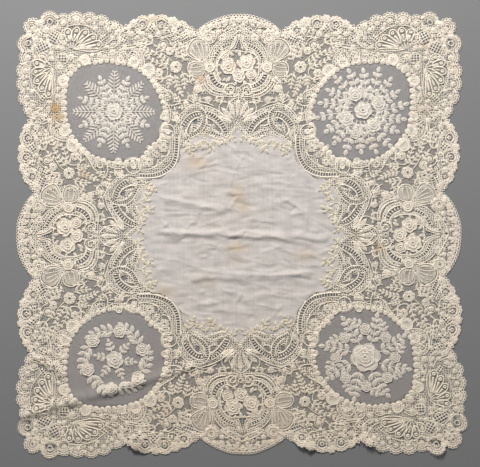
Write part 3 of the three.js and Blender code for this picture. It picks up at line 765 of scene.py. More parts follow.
SEAM_GAP = 0.3  # how much larger than the linen's edge the ground's opening is
half_windows = [strip_outline(bars.points, bars.width) for bars in BARS]
half_windows += window_outlines(LATTICES, WINDOWS)
middle_windows = window_outlines(CORNER_LATTICES, AXIS_WINDOWS)
middle_windows += [medallion_outline()]
windows = in_all_copies(half_windows, middle_windows)
windows.append(around_cloth(smooth_line(LINEN_EDGE, LINEN_STEP), SEAM_GAP))
half_gaps, middle_gaps = (
    [smooth_line(gap, OUTLINE_STEP, closed=True) for gap in table] for table in (NET_GAPS, AXIS_GAPS)
)
gaps = in_all_copies(half_gaps, middle_gaps)

# The grid is finer where the cloth is folded.
GRID_REACH, OPEN_GRID, FOLD_GRID, FOLD_SHIFT = 228, 5.0, 2.5, 1.1
LEAST_FOLD = 0.05
fold_grid = grid_points(GRID_REACH, FOLD_GRID, FOLD_SHIFT)
folded = fold_grid[fold_height(*fold_grid.T) > LEAST_FOLD]
cloth_grid = np.vstack([grid_points(GRID_REACH, OPEN_GRID), folded])
edge_line = lobed_edge(EDGE_LOBES, LADDER_INNER)
ground_xy, filled_faces, gap_faces = cut_out(around_cloth(edge_line), windows, cloth_grid, gaps)


def net_sheet(xy, faces):
    """A sheet of net over flat triangles, laid on the folds."""
    fold = fold_height(*xy.T)
    return sheet_between(xy, faces, fold + NET_LOW, fold + NET_HIGH)


filled, netted = (net_sheet(ground_xy, faces) for faces in (filled_faces, gap_faces))
ground_points = np.vstack([filled[0], netted[0]])
ground_faces = np.vstack([filled[1], netted[1] + len(filled[0])])
ground_openness = np.repeat([CLOSE_FILLING, PLAIN_NET], [len(filled[0]), len(netted[0])])

# In cells: a thread's half width where the work is closed, and what openness takes off it.
CLOSED_HALF, OPENED_HALF = 0.52, 0.42
THREAD_EDGE, CELL_DEPTH = 14.0, 2.0  # how sharp a thread's edge is, and how deep the cells look


def net_group():
    """Thread net: the share of the ground that thread covers falls as openness rises to 1."""
    group, take, give = new_group(
        "thread net",
        [("Position", "Vector"), ("Openness", "Float"), ("Pitch", "Float")],
        [("Thread", "Float"), ("Height", "Float")],
    )
    is_filled = math_node(group, "LESS_THAN", take.outputs["Openness"], NET_FROM)
    coarser = math_node(group, "MULTIPLY", is_filled, COARSER_FILLING - 1.0)
    coarser = math_node(group, "ADD", coarser, 1.0)
    pitch = math_node(group, "MULTIPLY", take.outputs["Pitch"], coarser)
    fineness = math_node(group, "DIVIDE", 1.0, pitch)
    cells = node(
        group, "ShaderNodeTexVoronoi", {"Vector": take.outputs["Position"]},
        voronoi_dimensions="2D", feature="DISTANCE_TO_EDGE", Randomness=0.75,
    )
    group.links.new(fineness, cells.inputs["Scale"])
    opened = math_node(group, "MULTIPLY", take.outputs["Openness"], -OPENED_HALF)
    half_width = math_node(group, "ADD", opened, CLOSED_HALF)
    inside = math_node(group, "SUBTRACT", half_width, cells.outputs["Distance"])
    thread = math_node(group, "MULTIPLY", inside, THREAD_EDGE, clamp=True)
    group.links.new(thread, give.inputs["Thread"])
    depth = math_node(group, "MULTIPLY", cells.outputs["Distance"], -CELL_DEPTH)
    group.links.new(math_node(group, "ADD", depth, 1.0), give.inputs["Height"])
    return group


NET = net_group()


def lace_material(name, colour, pitch=NET_PITCH):
    """Lace thread that the openness at each point turns from close stitches into net."""
    material, tree, shader, place = cloth_material(name, colour, roughness=0.9, sheen=0.2)
    openness = node(tree, "ShaderNodeAttribute", attribute_name="openness")
    net = node(tree, "ShaderNodeGroup", {"Position": place}, node_tree=NET)
    tree.links.new(openness.outputs["Fac"], net.inputs["Openness"])
    net.inputs["Pitch"].default_value = pitch * MM
    tree.links.new(net.outputs["Thread"], shader.inputs["Alpha"])
    bump = node(tree, "ShaderNodeBump", Strength=0.5, Distance=0.0003)
    tree.links.new(net.outputs["Height"], bump.inputs["Height"])
    tree.links.new(bump.outputs["Normal"], shader.inputs["Normal"])
    return material


LACE_COLOUR = (0.855, 0.776, 0.67)
LACE = lace_material("lace thread", LACE_COLOUR)
# Painted shade: the net ground is painted darker than the raised work on it, for the shadow in the
# crevices between the motifs.
GROUND_PAINTED_SHADE_TONE = 0.86
ground = make_piece(
    "lace_net_ground",
    ground_points,
    ground_faces,
    tone=np.full(len(ground_points), GROUND_PAINTED_SHADE_TONE),
    openness=ground_openness,
    material=LACE,
)
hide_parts("lace_border")
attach(ground, "root")

# ---- Bar stitches and open lattices -------------------------------------------------------------
# Short buttonholed bars, many with a knot on their middle, that cross the places left open in the
# ground, and lattices of crossing threads. Each is worked with the needle from edge to edge.

# Cross-sections, as shares of a width across and up, and the levels that cords and bars lie at.
ROUND_THREAD = np.array([(0.5, 0.0), (0.0, 0.55), (-0.5, 0.0), (0.0, -0.35)])
LOW_BAND = np.array([(0.5, 0.0), (0.43, 0.75), (0.0, 1.0), (-0.43, 0.75), (-0.5, 0.0)])
CORD_BASE, BAR_BASE = 0.85, 0.6
THREAD_UNEVEN = 0.05  # how far the thread's shade varies
BAR_HOLD, LATTICE_HOLD = 0.3, 0.6  # how far the threads run over the edges of an opening


class Work:
    """Lace worked for one part of the pattern: its points, faces and finish, in millimetres."""

    def __init__(self):
        self.points, self.faces, self.finish = [], [], []
        self.count = 0

    def add(self, points, faces, tone=1.0, openness=0.0):
        self.points.append(points)
        self.faces.append(np.asarray(faces) + self.count)
        values = [np.broadcast_to(value, len(points)) for value in (tone, openness)]
        self.finish.append(np.column_stack(values))
        self.count += len(points)


def swept(work, line, section, width, rise, base, closed=False, tone=1.0, openness=0.0):
    """Carries a cross-section of (across, up) shares along a line."""
    left = to_the_left(line, closed)
    across = section[:, 0][None, :] * np.broadcast_to(width, len(line))[:, None]
    xy = line[:, None, :] + left[:, None, :] * across[:, :, None]
    up = np.broadcast_to(base, len(line))[:, None] + section[:, 1][None, :] * rise
    rings = np.dstack([xy, up])
    n, k = rings.shape[:2]
    i = np.arange(n if closed else n - 1)[:, None]
    j = np.arange(k)[None, :]
    a, b = i * k + j, i * k + (j + 1) % k
    c, d = ((i + 1) % n) * k + (j + 1) % k, ((i + 1) % n) * k + j
    faces = [np.stack([a, b, c], -1).reshape(-1, 3), np.stack([a, c, d], -1).reshape(-1, 3)]
    if not closed:
        fan = np.arange(1, k - 1)
        first = np.column_stack([np.zeros_like(fan), fan + 1, fan])
        last = (n - 1) * k + np.column_stack([np.zeros_like(fan), fan, fan + 1])
        faces += [first, last]
    work.add(rings.reshape(-1, 3), np.vstack(faces), tone, openness)


def cord(work, points, width=1.0, base=CORD_BASE, tone=1.1, step=1.5):
    """A raised cord of padded buttonhole stitch."""
    swept(work, smooth_line(points, step), ROUND_THREAD, width, width, base, tone=tone)


def band(work, points, width, base=0.4, rise=0.45, tone=0.89, openness=0.3, step=1.8):
    """A strip of close cloth stitch; width is one number or one at each given point."""
    line = smooth_line(points, step)
    if np.ndim(width):
        width = np.interp(np.linspace(0, 1, len(line)), np.linspace(0, 1, len(width)), width)
    swept(work, line, LOW_BAND, width, rise, base, False, tone, openness)


def threads(work, starts, ends, width, base, tone=1.0):
    """Many short straight threads at once, each from a start to an end."""
    starts, ends = np.asarray(starts, float), np.asarray(ends, float)
    run = ends - starts
    left = np.column_stack([-run[:, 1], run[:, 0]])
    left /= np.linalg.norm(left, axis=1, keepdims=True) + 1e-9
    rings = []
    for end in (starts, ends):
        for across, up in ROUND_THREAD:
            level = np.full(len(end), base + up * width)
            rings.append(np.column_stack([end + left * across * width, level]))
    points = np.stack(rings, 1).reshape(-1, 3)
    quads = [(j, (j + 1) % 4, 4 + (j + 1) % 4, 4 + j) for j in range(4)]
    one = [(a, b, c) for a, b, c, _ in quads] + [(a, c, d) for a, _, c, d in quads]
    one += [(0, 2, 1), (0, 3, 2), (4, 5, 6), (4, 6, 7)]
    faces = (np.arange(len(starts))[:, None, None] * 8 + np.array(one)[None]).reshape(-1, 3)
    work.add(points, faces, tone)


def knots(work, middles, r, base, tone=1.1):
    """Small round knots, each a low diamond shape of eight faces."""
    middles = np.asarray(middles, float).reshape(-1, 2)
    corners = np.array([(1, 0, 0), (0, 1, 0), (-1, 0, 0), (0, -1, 0), (0, 0, 0.9), (0, 0, -0.6)]) * r
    points = np.column_stack([middles, np.full(len(middles), base)])[:, None] + corners[None]
    one = [(0, 1, 4), (1, 2, 4), (2, 3, 4), (3, 0, 4), (1, 0, 5), (2, 1, 5), (3, 2, 5), (0, 3, 5)]
    faces = (np.arange(len(middles))[:, None, None] * 6 + np.array(one)[None]).reshape(-1, 3)
    work.add(points.reshape(-1, 3), faces, tone)


def lattice(work, x, y, half_x, half_y, turn, pitch):
    """Threads that cross both ways over a round open place."""
    for way, half_run, half_side in ((0, half_x, half_y), (90, half_y, half_x)):
        count = max(round(2 * half_side / pitch), 2)
        offsets = (np.arange(count) + 0.5) / count * 2 - 1
        reach = np.sqrt(np.clip(1 - offsets**2, 0.05, 1)) * half_run + LATTICE_HOLD
        ends = [np.column_stack([side * reach, offsets * half_side]) for side in (-1, 1)]
        starts, ends = (turned(turned(end, way), turn) + (x, y) for end in ends)
        threads(work, starts, ends, width=1.0, base=BAR_BASE, tone=1.06)


def finished(name, half=None, middle=None, material=None, copies=range(8), over=None):
    """Copies the work to all its places, lays it on the folds and makes it one piece."""
    runs = []
    total = 0
    for work, places in ((half, copies), (middle, (0, 2, 4, 6))):
        if work is None or not work.count:
            continue
        points, faces, finish = (np.vstack(part) for part in (work.points, work.faces, work.finish))
        for copy in places:
            xy = drifted(in_copy(points[:, :2], copy))
            level = points[:, 2] + fold_height(*xy.T) + (over(*xy.T) if over else 0)
            turned_faces = faces[:, ::-1] if copy % 2 else faces
            runs.append((np.column_stack([xy, level]), turned_faces + total, finish))
            total += len(points)
    points, faces, finish = (np.vstack([run[i] for run in runs]) for i in range(3))
    uneven = 1 + THREAD_UNEVEN * ripples(*points[:, :2].T, seed=31, shortest=3, longest=14, waves=30)
    piece = make_piece(name, points, faces, finish[:, 0] * uneven, finish[:, 1], material or LACE)
    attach(piece, "root")
    return piece


openwork, corner_openwork = Work(), Work()
for bars in BARS:
    line = smooth_line(bars.points, bars.pitch)
    side = to_the_left(line) * (bars.width / 2 + BAR_HOLD)
    threads(openwork, line + side, line - side, width=1.0, base=BAR_BASE)
    if bars.knotted:
        knots(openwork, line, r=0.95, base=0.8)
for each in LATTICES:
    lattice(openwork, *each)
for each in CORNER_LATTICES:
    lattice(corner_openwork, *each)
finished("lace_openwork", openwork, corner_openwork)

# ---- Scrolls round the linen --------------------------------------------------------------------
# The lace's inner rim, and on it the double scrolls that frame the linen's scallops: strips of close
# cloth stitch edged with padded cords. They are worked in place and sewn over the linen's edge.
Strip = namedtuple("Strip", "width openness points")
Line = namedtuple("Line", "width points")
Ring = namedtuple("Ring", "x y r width base tone half_y turn", defaults=(CORD_BASE, 1.08, None, 0))
MORE_OPEN = 0.3  # added to the openness of every strip and patch
# A patch's rows of points, from its edge inwards: size, height, shade and openness, as shares.
PATCH_ROWS = [
    (1.0, 0.0, 0.92, 0.0), (0.86, 1.0, 1.08, 0.0), (0.55, 0.6, 0.9, 1.0), (0.0, 0.6, 0.82, 1.0),
]


def patch(work, outline, base=0.42, rise=0.5, tone=1.0, openness=0.15):
    """A closed shape of close stitches with a padded edge and a thinner middle."""
    ring = leftwards(np.asarray(outline, float))
    middle = ring.mean(0)
    n = len(ring)
    points, finish = [], []
    for share, up, shade, opened in PATCH_ROWS:
        xy = middle + (ring - middle) * share if share else middle[None]
        points.append(np.column_stack([xy, np.full(len(xy), base + up * rise)]))
        finish.append(np.full((len(xy), 2), (tone * shade, opened * (openness + MORE_OPEN))))
    points.append([[*middle, base]])
    finish.append(finish[0][:1])
    i = np.arange(n)
    k = (i + 1) % n
    faces = [
        np.column_stack([k, i, np.full(n, 3 * n + 1)]),
        np.column_stack([i + 2 * n, k + 2 * n, np.full(n, 3 * n)]),
    ]
    for row in (0, n):
        faces.append(np.column_stack([i + row, k + row, k + row + n]))
        faces.append(np.column_stack([i + row, k + row + n, i + row + n]))
    work.add(np.vstack(points), np.vstack(faces), *np.vstack(finish).T)


def ring(work, x, y, r, width=1.0, base=CORD_BASE, tone=1.08, half_y=None, turn=0.0, sides=None):
    """A closed round cord."""
    outline = round_outline(x, y, r, half_y, sides or max(7, round(r * 3.2)), turn)
    swept(work, outline, ROUND_THREAD, width, width, base, True, tone)


def work_all(work, strips=(), lines=(), rings=()):
    """The strips, cords and rings of a section's tables."""
    for strip in strips:
        band(work, strip.points, strip.width, openness=strip.openness + MORE_OPEN)
    for line in lines:
        cord(work, line.points, line.width)
    for each in rings:
        ring(work, *each)


LINEN_STRIPS = [
    Strip(5.4, 0.3, [(6, 113), (12, 117), (17.5, 121), (24.5, 125.2), (32.5, 127.4)]),
    Strip(4.2, 0.3, [(11.5, 100.6), (17, 101.8), (23, 105), (28.5, 107.4), (30.6, 103)]),
    Strip(2.8, 0.25, [(22, 108.6), (26, 109.8), (30, 111.6), (31, 115.6)]),
    Strip(4.6, 0.2, [(0.5, 110), (4.5, 106), (9.5, 100), (15, 97.6), (22, 98.4), (30, 101.2)]),
    Strip(5.0, 0.25, [(29, 102), (37, 101.6), (44, 98), (50.5, 94.4), (55, 90)]),
    Strip(4.4, 0.3, [(35, 128.2), (40, 130), (46, 128.4), (51.4, 124.6), (55.6, 119), (58.6, 112)]),
    Strip(3.2, 0.25, [(35.4, 122), (35.2, 115.6), (38.6, 109.4), (44, 104.8)]),
    Strip(2.4, 0.25, [(45.8, 111), (46, 107), (47.2, 104)]),
    Strip(3.4, 0.3, [(57, 109.5), (55.6, 104.5), (54, 99), (56.5, 93)]),
    Strip(4.8, 0.4, [(64.6, 98.5), (64.9, 90), (66.2, 82.2), (68.8, 76.6), (72.4, 72.4)]),
    Strip(3.0, 0.2, [(58.2, 99), (57.6, 91), (58.6, 82), (60.8, 74.4), (64.4, 68.2), (66.2, 66.2)]),
    Strip(5.0, 0.3, [(69, 100), (72, 92), (77, 90.5), (80.5, 87.5)]),
    Strip(4.0, 0.3, [(76, 96.6), (79.5, 92.5), (84, 88.4)]),
]
LINEN_CORDS = [
    Line(1.2, [(6, 115.6), (11, 119.4), (16, 122.4), (22, 126), (29, 129.4), (35, 131)]),
    Line(1.4, [(13.8, 102.8), (17.4, 108.2), (21.8, 113), (26.6, 116.8), (31.4, 118.8)]),
    Line(1.0, [(9.4, 104.5), (11.2, 109.4), (14.6, 114.2), (19, 118.6), (24, 122.4), (30, 125.4)]),
    Line(1.0, [(10, 94.9), (15, 96), (21, 98), (28, 100.4)]),
    Line(0.9, [(9.8, 99), (15, 100.6), (20, 103), (25, 104.8), (30, 104.6)]),
    Line(1.0, [(23.2, 110.6), (27, 110.2), (30.6, 112), (31.2, 117)]),
    Line(1.2, [(35, 131), (40, 132.4), (46.4, 130.8), (53, 126.6), (58, 120.6), (61, 113)]),
    Line(1.1, [(36.6, 124.4), (41, 124.6), (46.6, 122.4), (51.6, 118.4), (56, 112), (57.4, 108)]),
    Line(1.6, [(37.4, 118.4), (41, 118.2), (45.2, 115.6), (48.6, 111), (50.9, 105.6), (50.2, 99.6)]),
    Line(1.2, [
        (36, 128.6), (31.8, 123.6), (30.4, 117), (32.2, 109.8), (36.4, 104.6), (42, 101), (48, 98.4),
    ]),
    Line(0.9, [(37, 120.6), (35, 116.8), (36.6, 111.6), (40.4, 107.4), (45, 103.6)]),
    Line(0.8, [(40.2, 110.6), (43.6, 109.4), (46, 112)]),
    Line(0.9, [(46.4, 109), (46.6, 105), (48.4, 102)]),
    Line(1.1, [(51.8, 107), (52.2, 101), (50.8, 96.4)]),
    Line(1.0, [(58.6, 108.4), (56.8, 102.6), (57.4, 96), (58.2, 93)]),
    Line(0.9, [(54.6, 106.4), (53, 103), (52.2, 99)]),
    Line(1.7, [(58.3, 101), (58.2, 90), (59, 82), (61.2, 74.6), (64.6, 68.8), (66.4, 66.4)]),
    Line(1.1, [(62.2, 100), (62.3, 90), (63.4, 82), (65.6, 76), (68, 72), (69.9, 69.9)]),
    Line(1.1, [(67, 97.6), (67.2, 90), (68.4, 83.6), (70.9, 78.8), (74.4, 74.4)]),
    Line(1.1, [(66.6, 98.6), (71, 99.6), (76.6, 98.8), (79.8, 95.2), (80.4, 91)]),
    Line(1.0, [(68.8, 92), (71.4, 94.4), (76, 95), (78.8, 92.4)]),
    Line(1.0, [(69.2, 86.2), (69.6, 82.6), (72, 80), (76.4, 79.4)]),
]
LINEN_RINGS = [
    Ring(38.2, 117, 1.5, 0.9), Ring(74, 88.2, 1.9, 1.0), Ring(69.6, 104.4, 7.3, 1.3),
    Ring(69.2, 104.2, 2.4, 1.6), Ring(52.2, 187.6, 2.0, 1.0),
]
# The shell on the side's middle, above the linen: ribs that shorten away from the middle one.
SHELL_HEART, SHELL_EYE = (0, 113), (0, 111.8)
SHELL_RIBS, RIB_TURN, RIB_START, RIB_WIDTH = 7, 24, 6, 5.0
LONGEST_RIB, RIB_SHORTER = 19, 0.9
SHELL_CORDS = [
    Line(1.2, [(11, 121.4), (10.6, 128), (7.4, 134), (3, 137.6), (0, 138.4)]),
    Line(1.0, [(6, 113.6), (9.6, 117.6), (11, 121.4)]),
    Line(1.1, [(13, 119.8), (17.6, 123.2), (18.6, 129), (15.6, 133.4), (12.4, 133)]),
    Line(0.9, [(0, 133.6), (3.6, 131.8), (6.6, 127.4), (7, 121)]),
]


def outward(x, y, degrees, r):
    """The point that lies r away from a place, in one direction."""
    return turned([(r, 0)], degrees)[0] + (x, y)


def petal_outline(x, y, degrees, length, width, pointed=False):
    """A petal from its foot outwards, or a leaf if it is pointed."""
    shares = [(0, 0), (0.25, 0.36), (0.58, 0.5), (0.85, 0.24 if pointed else 0.36)]
    side = [(a * length, b * width) for a, b in shares]
    outline = side + [(length, 0)] + [(a, -b) for a, b in side[:0:-1]]
    return turned(outline, degrees) + (x, y)


def leaf(work, x, y, degrees, length, width, base=0.5, rise=0.55, tone=1.02, openness=0.12):
    """A pointed leaf of close stitch with a corded vein."""
    outline = petal_outline(x, y, degrees, length, width, pointed=True)
    patch(work, outline, base, rise, tone, openness)
    start, end = (outward(x, y, degrees, share * length) for share in (0.1, 0.8))
    threads(work, [start], [end], width=0.6, base=base + rise + 0.12, tone=1.08)


VEINED_FROM = 3.4  # the radius from which a flower's petals have veins
PETAL_FOOT = 0.7  # how far out a petal starts, as a share of the eye's radius


def flower(work, x, y, r, petals=6, turn=0.0, base=0.5, eye=0.28, tone=1.04):
    """An open flower: petals round a corded ring with an open eye."""
    for i in range(petals):
        degrees = turn + 360 * i / petals
        foot = outward(x, y, degrees, eye * r * PETAL_FOOT)
        width = 1.9 * r * math.sin(math.pi / petals)
        shade = tone * (1.04 if i % 2 else 0.96)
        petal = petal_outline(*foot, degrees, r * (1 - eye * PETAL_FOOT), width)
        patch(work, petal, base, rise=0.7, tone=shade, openness=0.1)
        if r > VEINED_FROM:
            start, end = (outward(x, y, degrees, share * r) for share in (0.42, 0.86))
            threads(work, [start], [end], width=0.7, base=base + 0.8, tone=1.1)
    ring(work, x, y, eye * r, width=1.0, base=base + 0.75, tone=1.12, sides=8)


scrolls, shells = Work(), Work()
work_all(scrolls, LINEN_STRIPS, LINEN_CORDS, LINEN_RINGS)
for degrees in range(0, 360, 60):
    petal = petal_outline(*outward(74, 88.2, degrees, 1.4), degrees, length=3.4, width=3.6)
    patch(scrolls, petal, base=0.5, rise=0.6)
for x, y in ((69.6, 104.4), (62, 118.6)):
    patch(scrolls, round_outline(x, y, 2.6, sides=8), base=0.5, rise=0.7, tone=1.05, openness=0.05)
work_all(scrolls, lines=SHELL_CORDS)
for i in range(SHELL_RIBS):
    from_middle = i - (SHELL_RIBS - 1) / 2
    degrees = 90 + RIB_TURN * from_middle
    foot = outward(*SHELL_HEART, degrees, RIB_START)
    length = LONGEST_RIB - RIB_SHORTER * abs(from_middle) ** 1.5
    rib = petal_outline(*foot, degrees, length, RIB_WIDTH)
    patch(shells, rib, base=0.45, rise=0.6, tone=0.98, openness=0.2)
    ridge = [outward(*foot, degrees, share * length) for share in (0, 0.5, 1)]
    cord(shells, ridge, width=0.8, base=1.0)
ring(shells, *SHELL_EYE, r=2.0, width=1.1)
knots(shells, [SHELL_EYE], r=1.1, base=0.8)
# The eye where the scrolls meet on the corner's diagonal.
ring(shells, 82, 82, r=4.4, half_y=2.6, turn=45)
ring(shells, 82, 82, r=1.5, width=1.1)
knots(shells, round_outline(82, 82, 3.3, 2.0, sides=9, turn=45), r=0.6, base=0.9)
finished("lace_scrolls", scrolls, shells)

# ---- Frames on the middle of each side ----------------------------------------------------------
# An oval frame of scrolls and double bands round a bouquet, one on each side, with a volute at its
# foot, a pointed arch on top, and square clasps that tie it to the bows beside it.
FRAME_STRIPS = [
    Strip(4.2, 0.3, [(1.5, 206.2), (6, 203.6), (11, 201.8), (16.5, 199), (21, 195.6)]),
    Strip(4.6, 0.3, [
        (4, 200), (10, 196.6), (16.8, 192.4), (22.6, 186.8), (26.2, 179.4), (27.6, 172),
    ]),
    Strip(2.2, 0.15, [
        (7.5, 187), (12.6, 185.4), (17.6, 181.2), (20.9, 175.4), (22.4, 169), (22.4, 162.4),
    ]),
    Strip(2.4, 0.15, [(10.2, 151.4), (15.6, 152), (19.6, 155.2), (22.6, 160), (23.6, 163.4)]),
    Strip(2.8, 0.2, [(13.4, 145), (20.6, 146.8), (26.2, 150.4), (29.6, 156.4), (30.4, 161)]),
    Strip(2.8, 0.25, [(14, 139.8), (22, 141.6), (28.6, 145.8), (33, 152.4), (34, 158)]),
    Strip(3.4, 0.15, [(3.6, 199), (5.4, 192), (9.4, 186.6)]),
]
FRAME_CORDS = [
    Line(1.3, [(0, 208.8), (5, 206.6), (10.4, 204.4), (16, 201.2), (21.4, 196.8)]),
    Line(1.2, [
        (0, 204.6), (4.6, 201.4), (11, 199), (17, 195.8), (23, 191), (27.6, 184.4), (29.6, 176.6),
    ]),
    Line(1.0, [(8.4, 192.8), (13.6, 190.8), (18.8, 187.4), (23.2, 182.6), (26, 177)]),
    Line(1.0, [(8.2, 188.9), (12.8, 187.2), (17.4, 183.8), (20.8, 179.6), (22.8, 174.6)]),
    Line(1.5, [
        (9, 184.2), (13.6, 182.8), (17.8, 178.8), (20.2, 173.4), (20.8, 167), (20.2, 160.4),
        (17.2, 155),
    ]),
    Line(1.3, [(10.4, 150.2), (15.4, 150.9), (19.4, 153.4), (22.8, 157.4), (24.8, 162.4)]),
    Line(1.3, [(12.6, 146.3), (19, 147.4), (24.4, 150.6), (28.2, 155.6), (29.8, 161)]),
    Line(1.3, [(13, 143.4), (20.8, 144.9), (26.8, 148.4), (30.6, 153.8), (32.2, 160)]),
    Line(1.2, [(15, 141), (21.6, 142), (28, 145.4), (32.6, 151), (34.2, 157.4)]),
    Line(1.2, [(14, 138.2), (22.4, 139.4), (30, 143.6), (35, 150.4), (36, 156)]),
    Line(1.2, [(2.2, 200.8), (3.2, 194), (5.8, 188.4), (8.8, 185)]),
    Line(1.0, [(0, 200.6), (1.9, 192.4), (4.5, 185.8)]),
    Line(1.2, [(0, 184.4), (4, 184.2), (8.4, 183.4)]),
    Line(1.0, [(1.2, 207.6), (4.4, 205), (6.4, 208), (9.4, 204.8), (11.4, 207.4), (14.6, 203.6)]),
    Line(1.0, [(22, 199.6), (23.6, 194.6), (28.4, 191.4), (34, 192)]),
    Line(1.4, [
        (3.2, 150.4), (6.4, 152.6), (10.4, 151.8), (13.6, 148.6), (13.8, 144.6), (11, 141.6),
        (7, 141.8), (4.8, 144.8), (5.8, 148), (8.8, 148.8), (10.4, 146.8), (9.4, 145),
    ]),
    Line(1.0, [(1.4, 140.4), (4.4, 139), (8, 139.4), (12.6, 139)]),
]
FRAME_RINGS = [
    Ring(16, 197.2, 2.5, 1.1), Ring(29.4, 198.4, 1.3, 0.9), Ring(21, 203.6, 1.8, 0.9),
    Ring(10.5, 207.6, 1.2, 0.8),
]
CLASP = (28.4, 168.7)
CLASP_RINGS = ((4.9, 1.3), (2.6, 1.1), (0.5, 1.3))
# Blossoms and leaves between the frame and the outer edge.
Flower = namedtuple("Flower", "x y r petals turn", defaults=(None,))
Leaf = namedtuple("Leaf", "x y degrees length width")
BAND_BLOSSOMS = [
    Flower(6.6, 215.0, 3.6, 5, 20), Flower(14.0, 213.2, 3.7, 5, 50), Flower(21.4, 210.2, 3.9, 5, 0),
    Flower(38.6, 201.0, 3.4, 5, 30), Flower(4.6, 210.4, 2.4, 5, 0), Flower(20.4, 203.4, 2.8, 5, 40),
    Flower(35.4, 206.4, 3.2, 5, 10), Flower(28.4, 209.0, 3.2, 5, 60),
]
BAND_LEAVES = [
    Leaf(2.4, 212.2, 20, 5, 2.4), Leaf(10.4, 210.8, 150, 5, 2.4), Leaf(10.4, 216.6, -70, 4, 2.2),
    Leaf(17.6, 214.6, -60, 4, 2.2), Leaf(17.6, 208.6, 170, 5, 2.4), Leaf(25, 212, -50, 4, 2.4),
    Leaf(24.4, 206.6, 60, 5, 2.4), Leaf(31.6, 209.6, -30, 4, 2.2), Leaf(17.6, 205.2, 200, 5, 2.4),
    Leaf(40, 203.6, -60, 4, 2.2), Leaf(12.4, 208.6, 20, 4, 2.0), Leaf(33, 203.8, 20, 5, 2.4),
    Leaf(41.6, 198.6, 30, 5, 2.6), Leaf(19, 199.4, 10, 5, 2.2),
]
FRAME_FLOWERS = [Flower(40.2, 146.4, 4.0, 6, 0), Flower(36.6, 156.6, 3.2, 5, 0)]
FRAME_LEAVES = [
    Leaf(11, 197.5, 30, 7, 3), Leaf(6, 141, 60, 5, 3), Leaf(4.4, 193.6, 100, 6, 2.2),
    Leaf(16, 194.6, 150, 5, 2.4),
]


def flowers(work, table):
    """A table's flowers. One that has no turn of its own is turned by its place."""
    for each in table:
        turn = each.x * 7 if each.turn is None else each.turn
        flower(work, each.x, each.y, each.r, each.petals, turn)


def leaves(work, table):
    for each in table:
        leaf(work, *each)


frames, bouquets = Work(), Work()
work_all(frames, FRAME_STRIPS, FRAME_CORDS, FRAME_RINGS)
clasp = round_outline(*CLASP, CLASP_RINGS[0][0], sides=16)
patch(frames, clasp, base=0.5, rise=0.8, tone=0.98, openness=0.1)
for r, width in CLASP_RINGS:
    ring(frames, *CLASP, r, width, base=1.35, tone=1.12)
for y in (161.4, 162.8, 174.6, 176.0):
    threads(frames, [(24.4, y)], [(32.4, y)], width=0.8, base=1.0, tone=1.1)
flowers(frames, BAND_BLOSSOMS)
leaves(frames, BAND_LEAVES)
flower(frames, 30.4, 199, 7.6, petals=8, turn=10)
ring(frames, 30.4, 198.8, r=4.4, width=0.9, base=1.3, tone=0.84)
flower(frames, 47.8, 200.6, 4.0, petals=6, turn=15, base=0.7, tone=1.08)
flowers(frames, FRAME_FLOWERS)
leaves(frames, FRAME_LEAVES)

Bloom = namedtuple("Bloom", "x y r")
ROSES = [
    Bloom(8.8, 172.8, 8.6), Bloom(-9.6, 169.6, 8.0), Bloom(0.4, 160.6, 6.8), Bloom(13.2, 161.4, 5.6),
    Bloom(-13.6, 179.4, 4.6),
]
BOUQUET_LEAVES = [
    Leaf(2, 178, 100, 8, 3.6), Leaf(-4, 178.6, 140, 8, 3.4), Leaf(6, 181, 60, 6, 3.2),
    Leaf(15, 176.6, 20, 6, 3), Leaf(16.4, 168, -10, 5, 3), Leaf(-17, 171, 190, 5, 3),
    Leaf(-16, 164, 215, 7, 3.4), Leaf(-8, 160, 235, 8, 3.6), Leaf(5, 156.6, -70, 6, 3),
    Leaf(-2, 155.6, 250, 5.5, 3), Leaf(11, 156.4, -50, 6, 3), Leaf(-7, 176, 170, 6, 3),
    Leaf(-16, 184, 120, 4, 2.4), Leaf(0, 170, 90, 6, 3), Leaf(17, 159, -30, 4, 2.4),
    Leaf(-17.6, 176, 160, 4, 2.6), Leaf(18, 171, 0, 4, 2.6), Leaf(8, 155.4, 250, 4, 2.6),
    Leaf(-12, 157.6, 215, 5, 3), Leaf(12, 180.4, 70, 4, 2.6), Leaf(-8.6, 182, 100, 4, 2.4),
    Leaf(-3, 181.8, 60, 4, 2.4),
]


def rose(work, x, y, r, turn=0.0, base=0.5, tone=1.03):
    """A full rose: two rings of overlapping petals, each edged with a cord, round a tight heart."""
    for share, count, level in ((1.0, 6, 0.0), (0.6, 4, 0.35)):
        for i in range(count):
            degrees = turn + 360 * i / count + 40 * share
            middle = outward(x, y, degrees, r * share * 0.52)
            petal = round_outline(*middle, r * share * 0.46, r * share * 0.56, 9, degrees)
            shade = tone * (1.04, 0.9, 0.97)[i % 3]
            patch(work, petal, base + level, rise=0.6, tone=shade, openness=0.05)
            edge = []
            for t in (-1, -0.5, 0, 0.5, 1):
                edge.append(outward(x, y, degrees + t * 200 / count, r * share * (0.98 - 0.2 * t * t)))
            cord(work, edge, width=0.9, base=base + level + 0.65, tone=1.12)
    ring(work, x, y, 0.2 * r, width=0.9, base=base + 1.3, tone=1.12, sides=8)


for x, y, r in ROSES:
    rose(bouquets, x, y, r, turn=x * 10)
leaves(bouquets, BOUQUET_LEAVES)
for side in (-1, 1):
    starts = [(side * 2.8, 184.6), (side * 2, 188.4)]
    threads(bouquets, starts, [(side * 8, 183.8), (side * 6, 186)], width=0.9, base=1.0)
knots(bouquets, [(0, y) for y in (187.4, 189.6, 191.8, 194, 196.2)], r=0.7, base=0.8)
flower(bouquets, 0, 215.6, 3.4, petals=5, turn=90)
ring(bouquets, 0, 146.6, r=2.2)
for x in (-4.6, 0, 4.6):
    petal = petal_outline(x * 0.6, 138.6, 90 - x * 6, length=5.6, width=3.2)
    patch(bouquets, petal, base=0.5, rise=0.5)
finished("lace_frames", frames, bouquets)
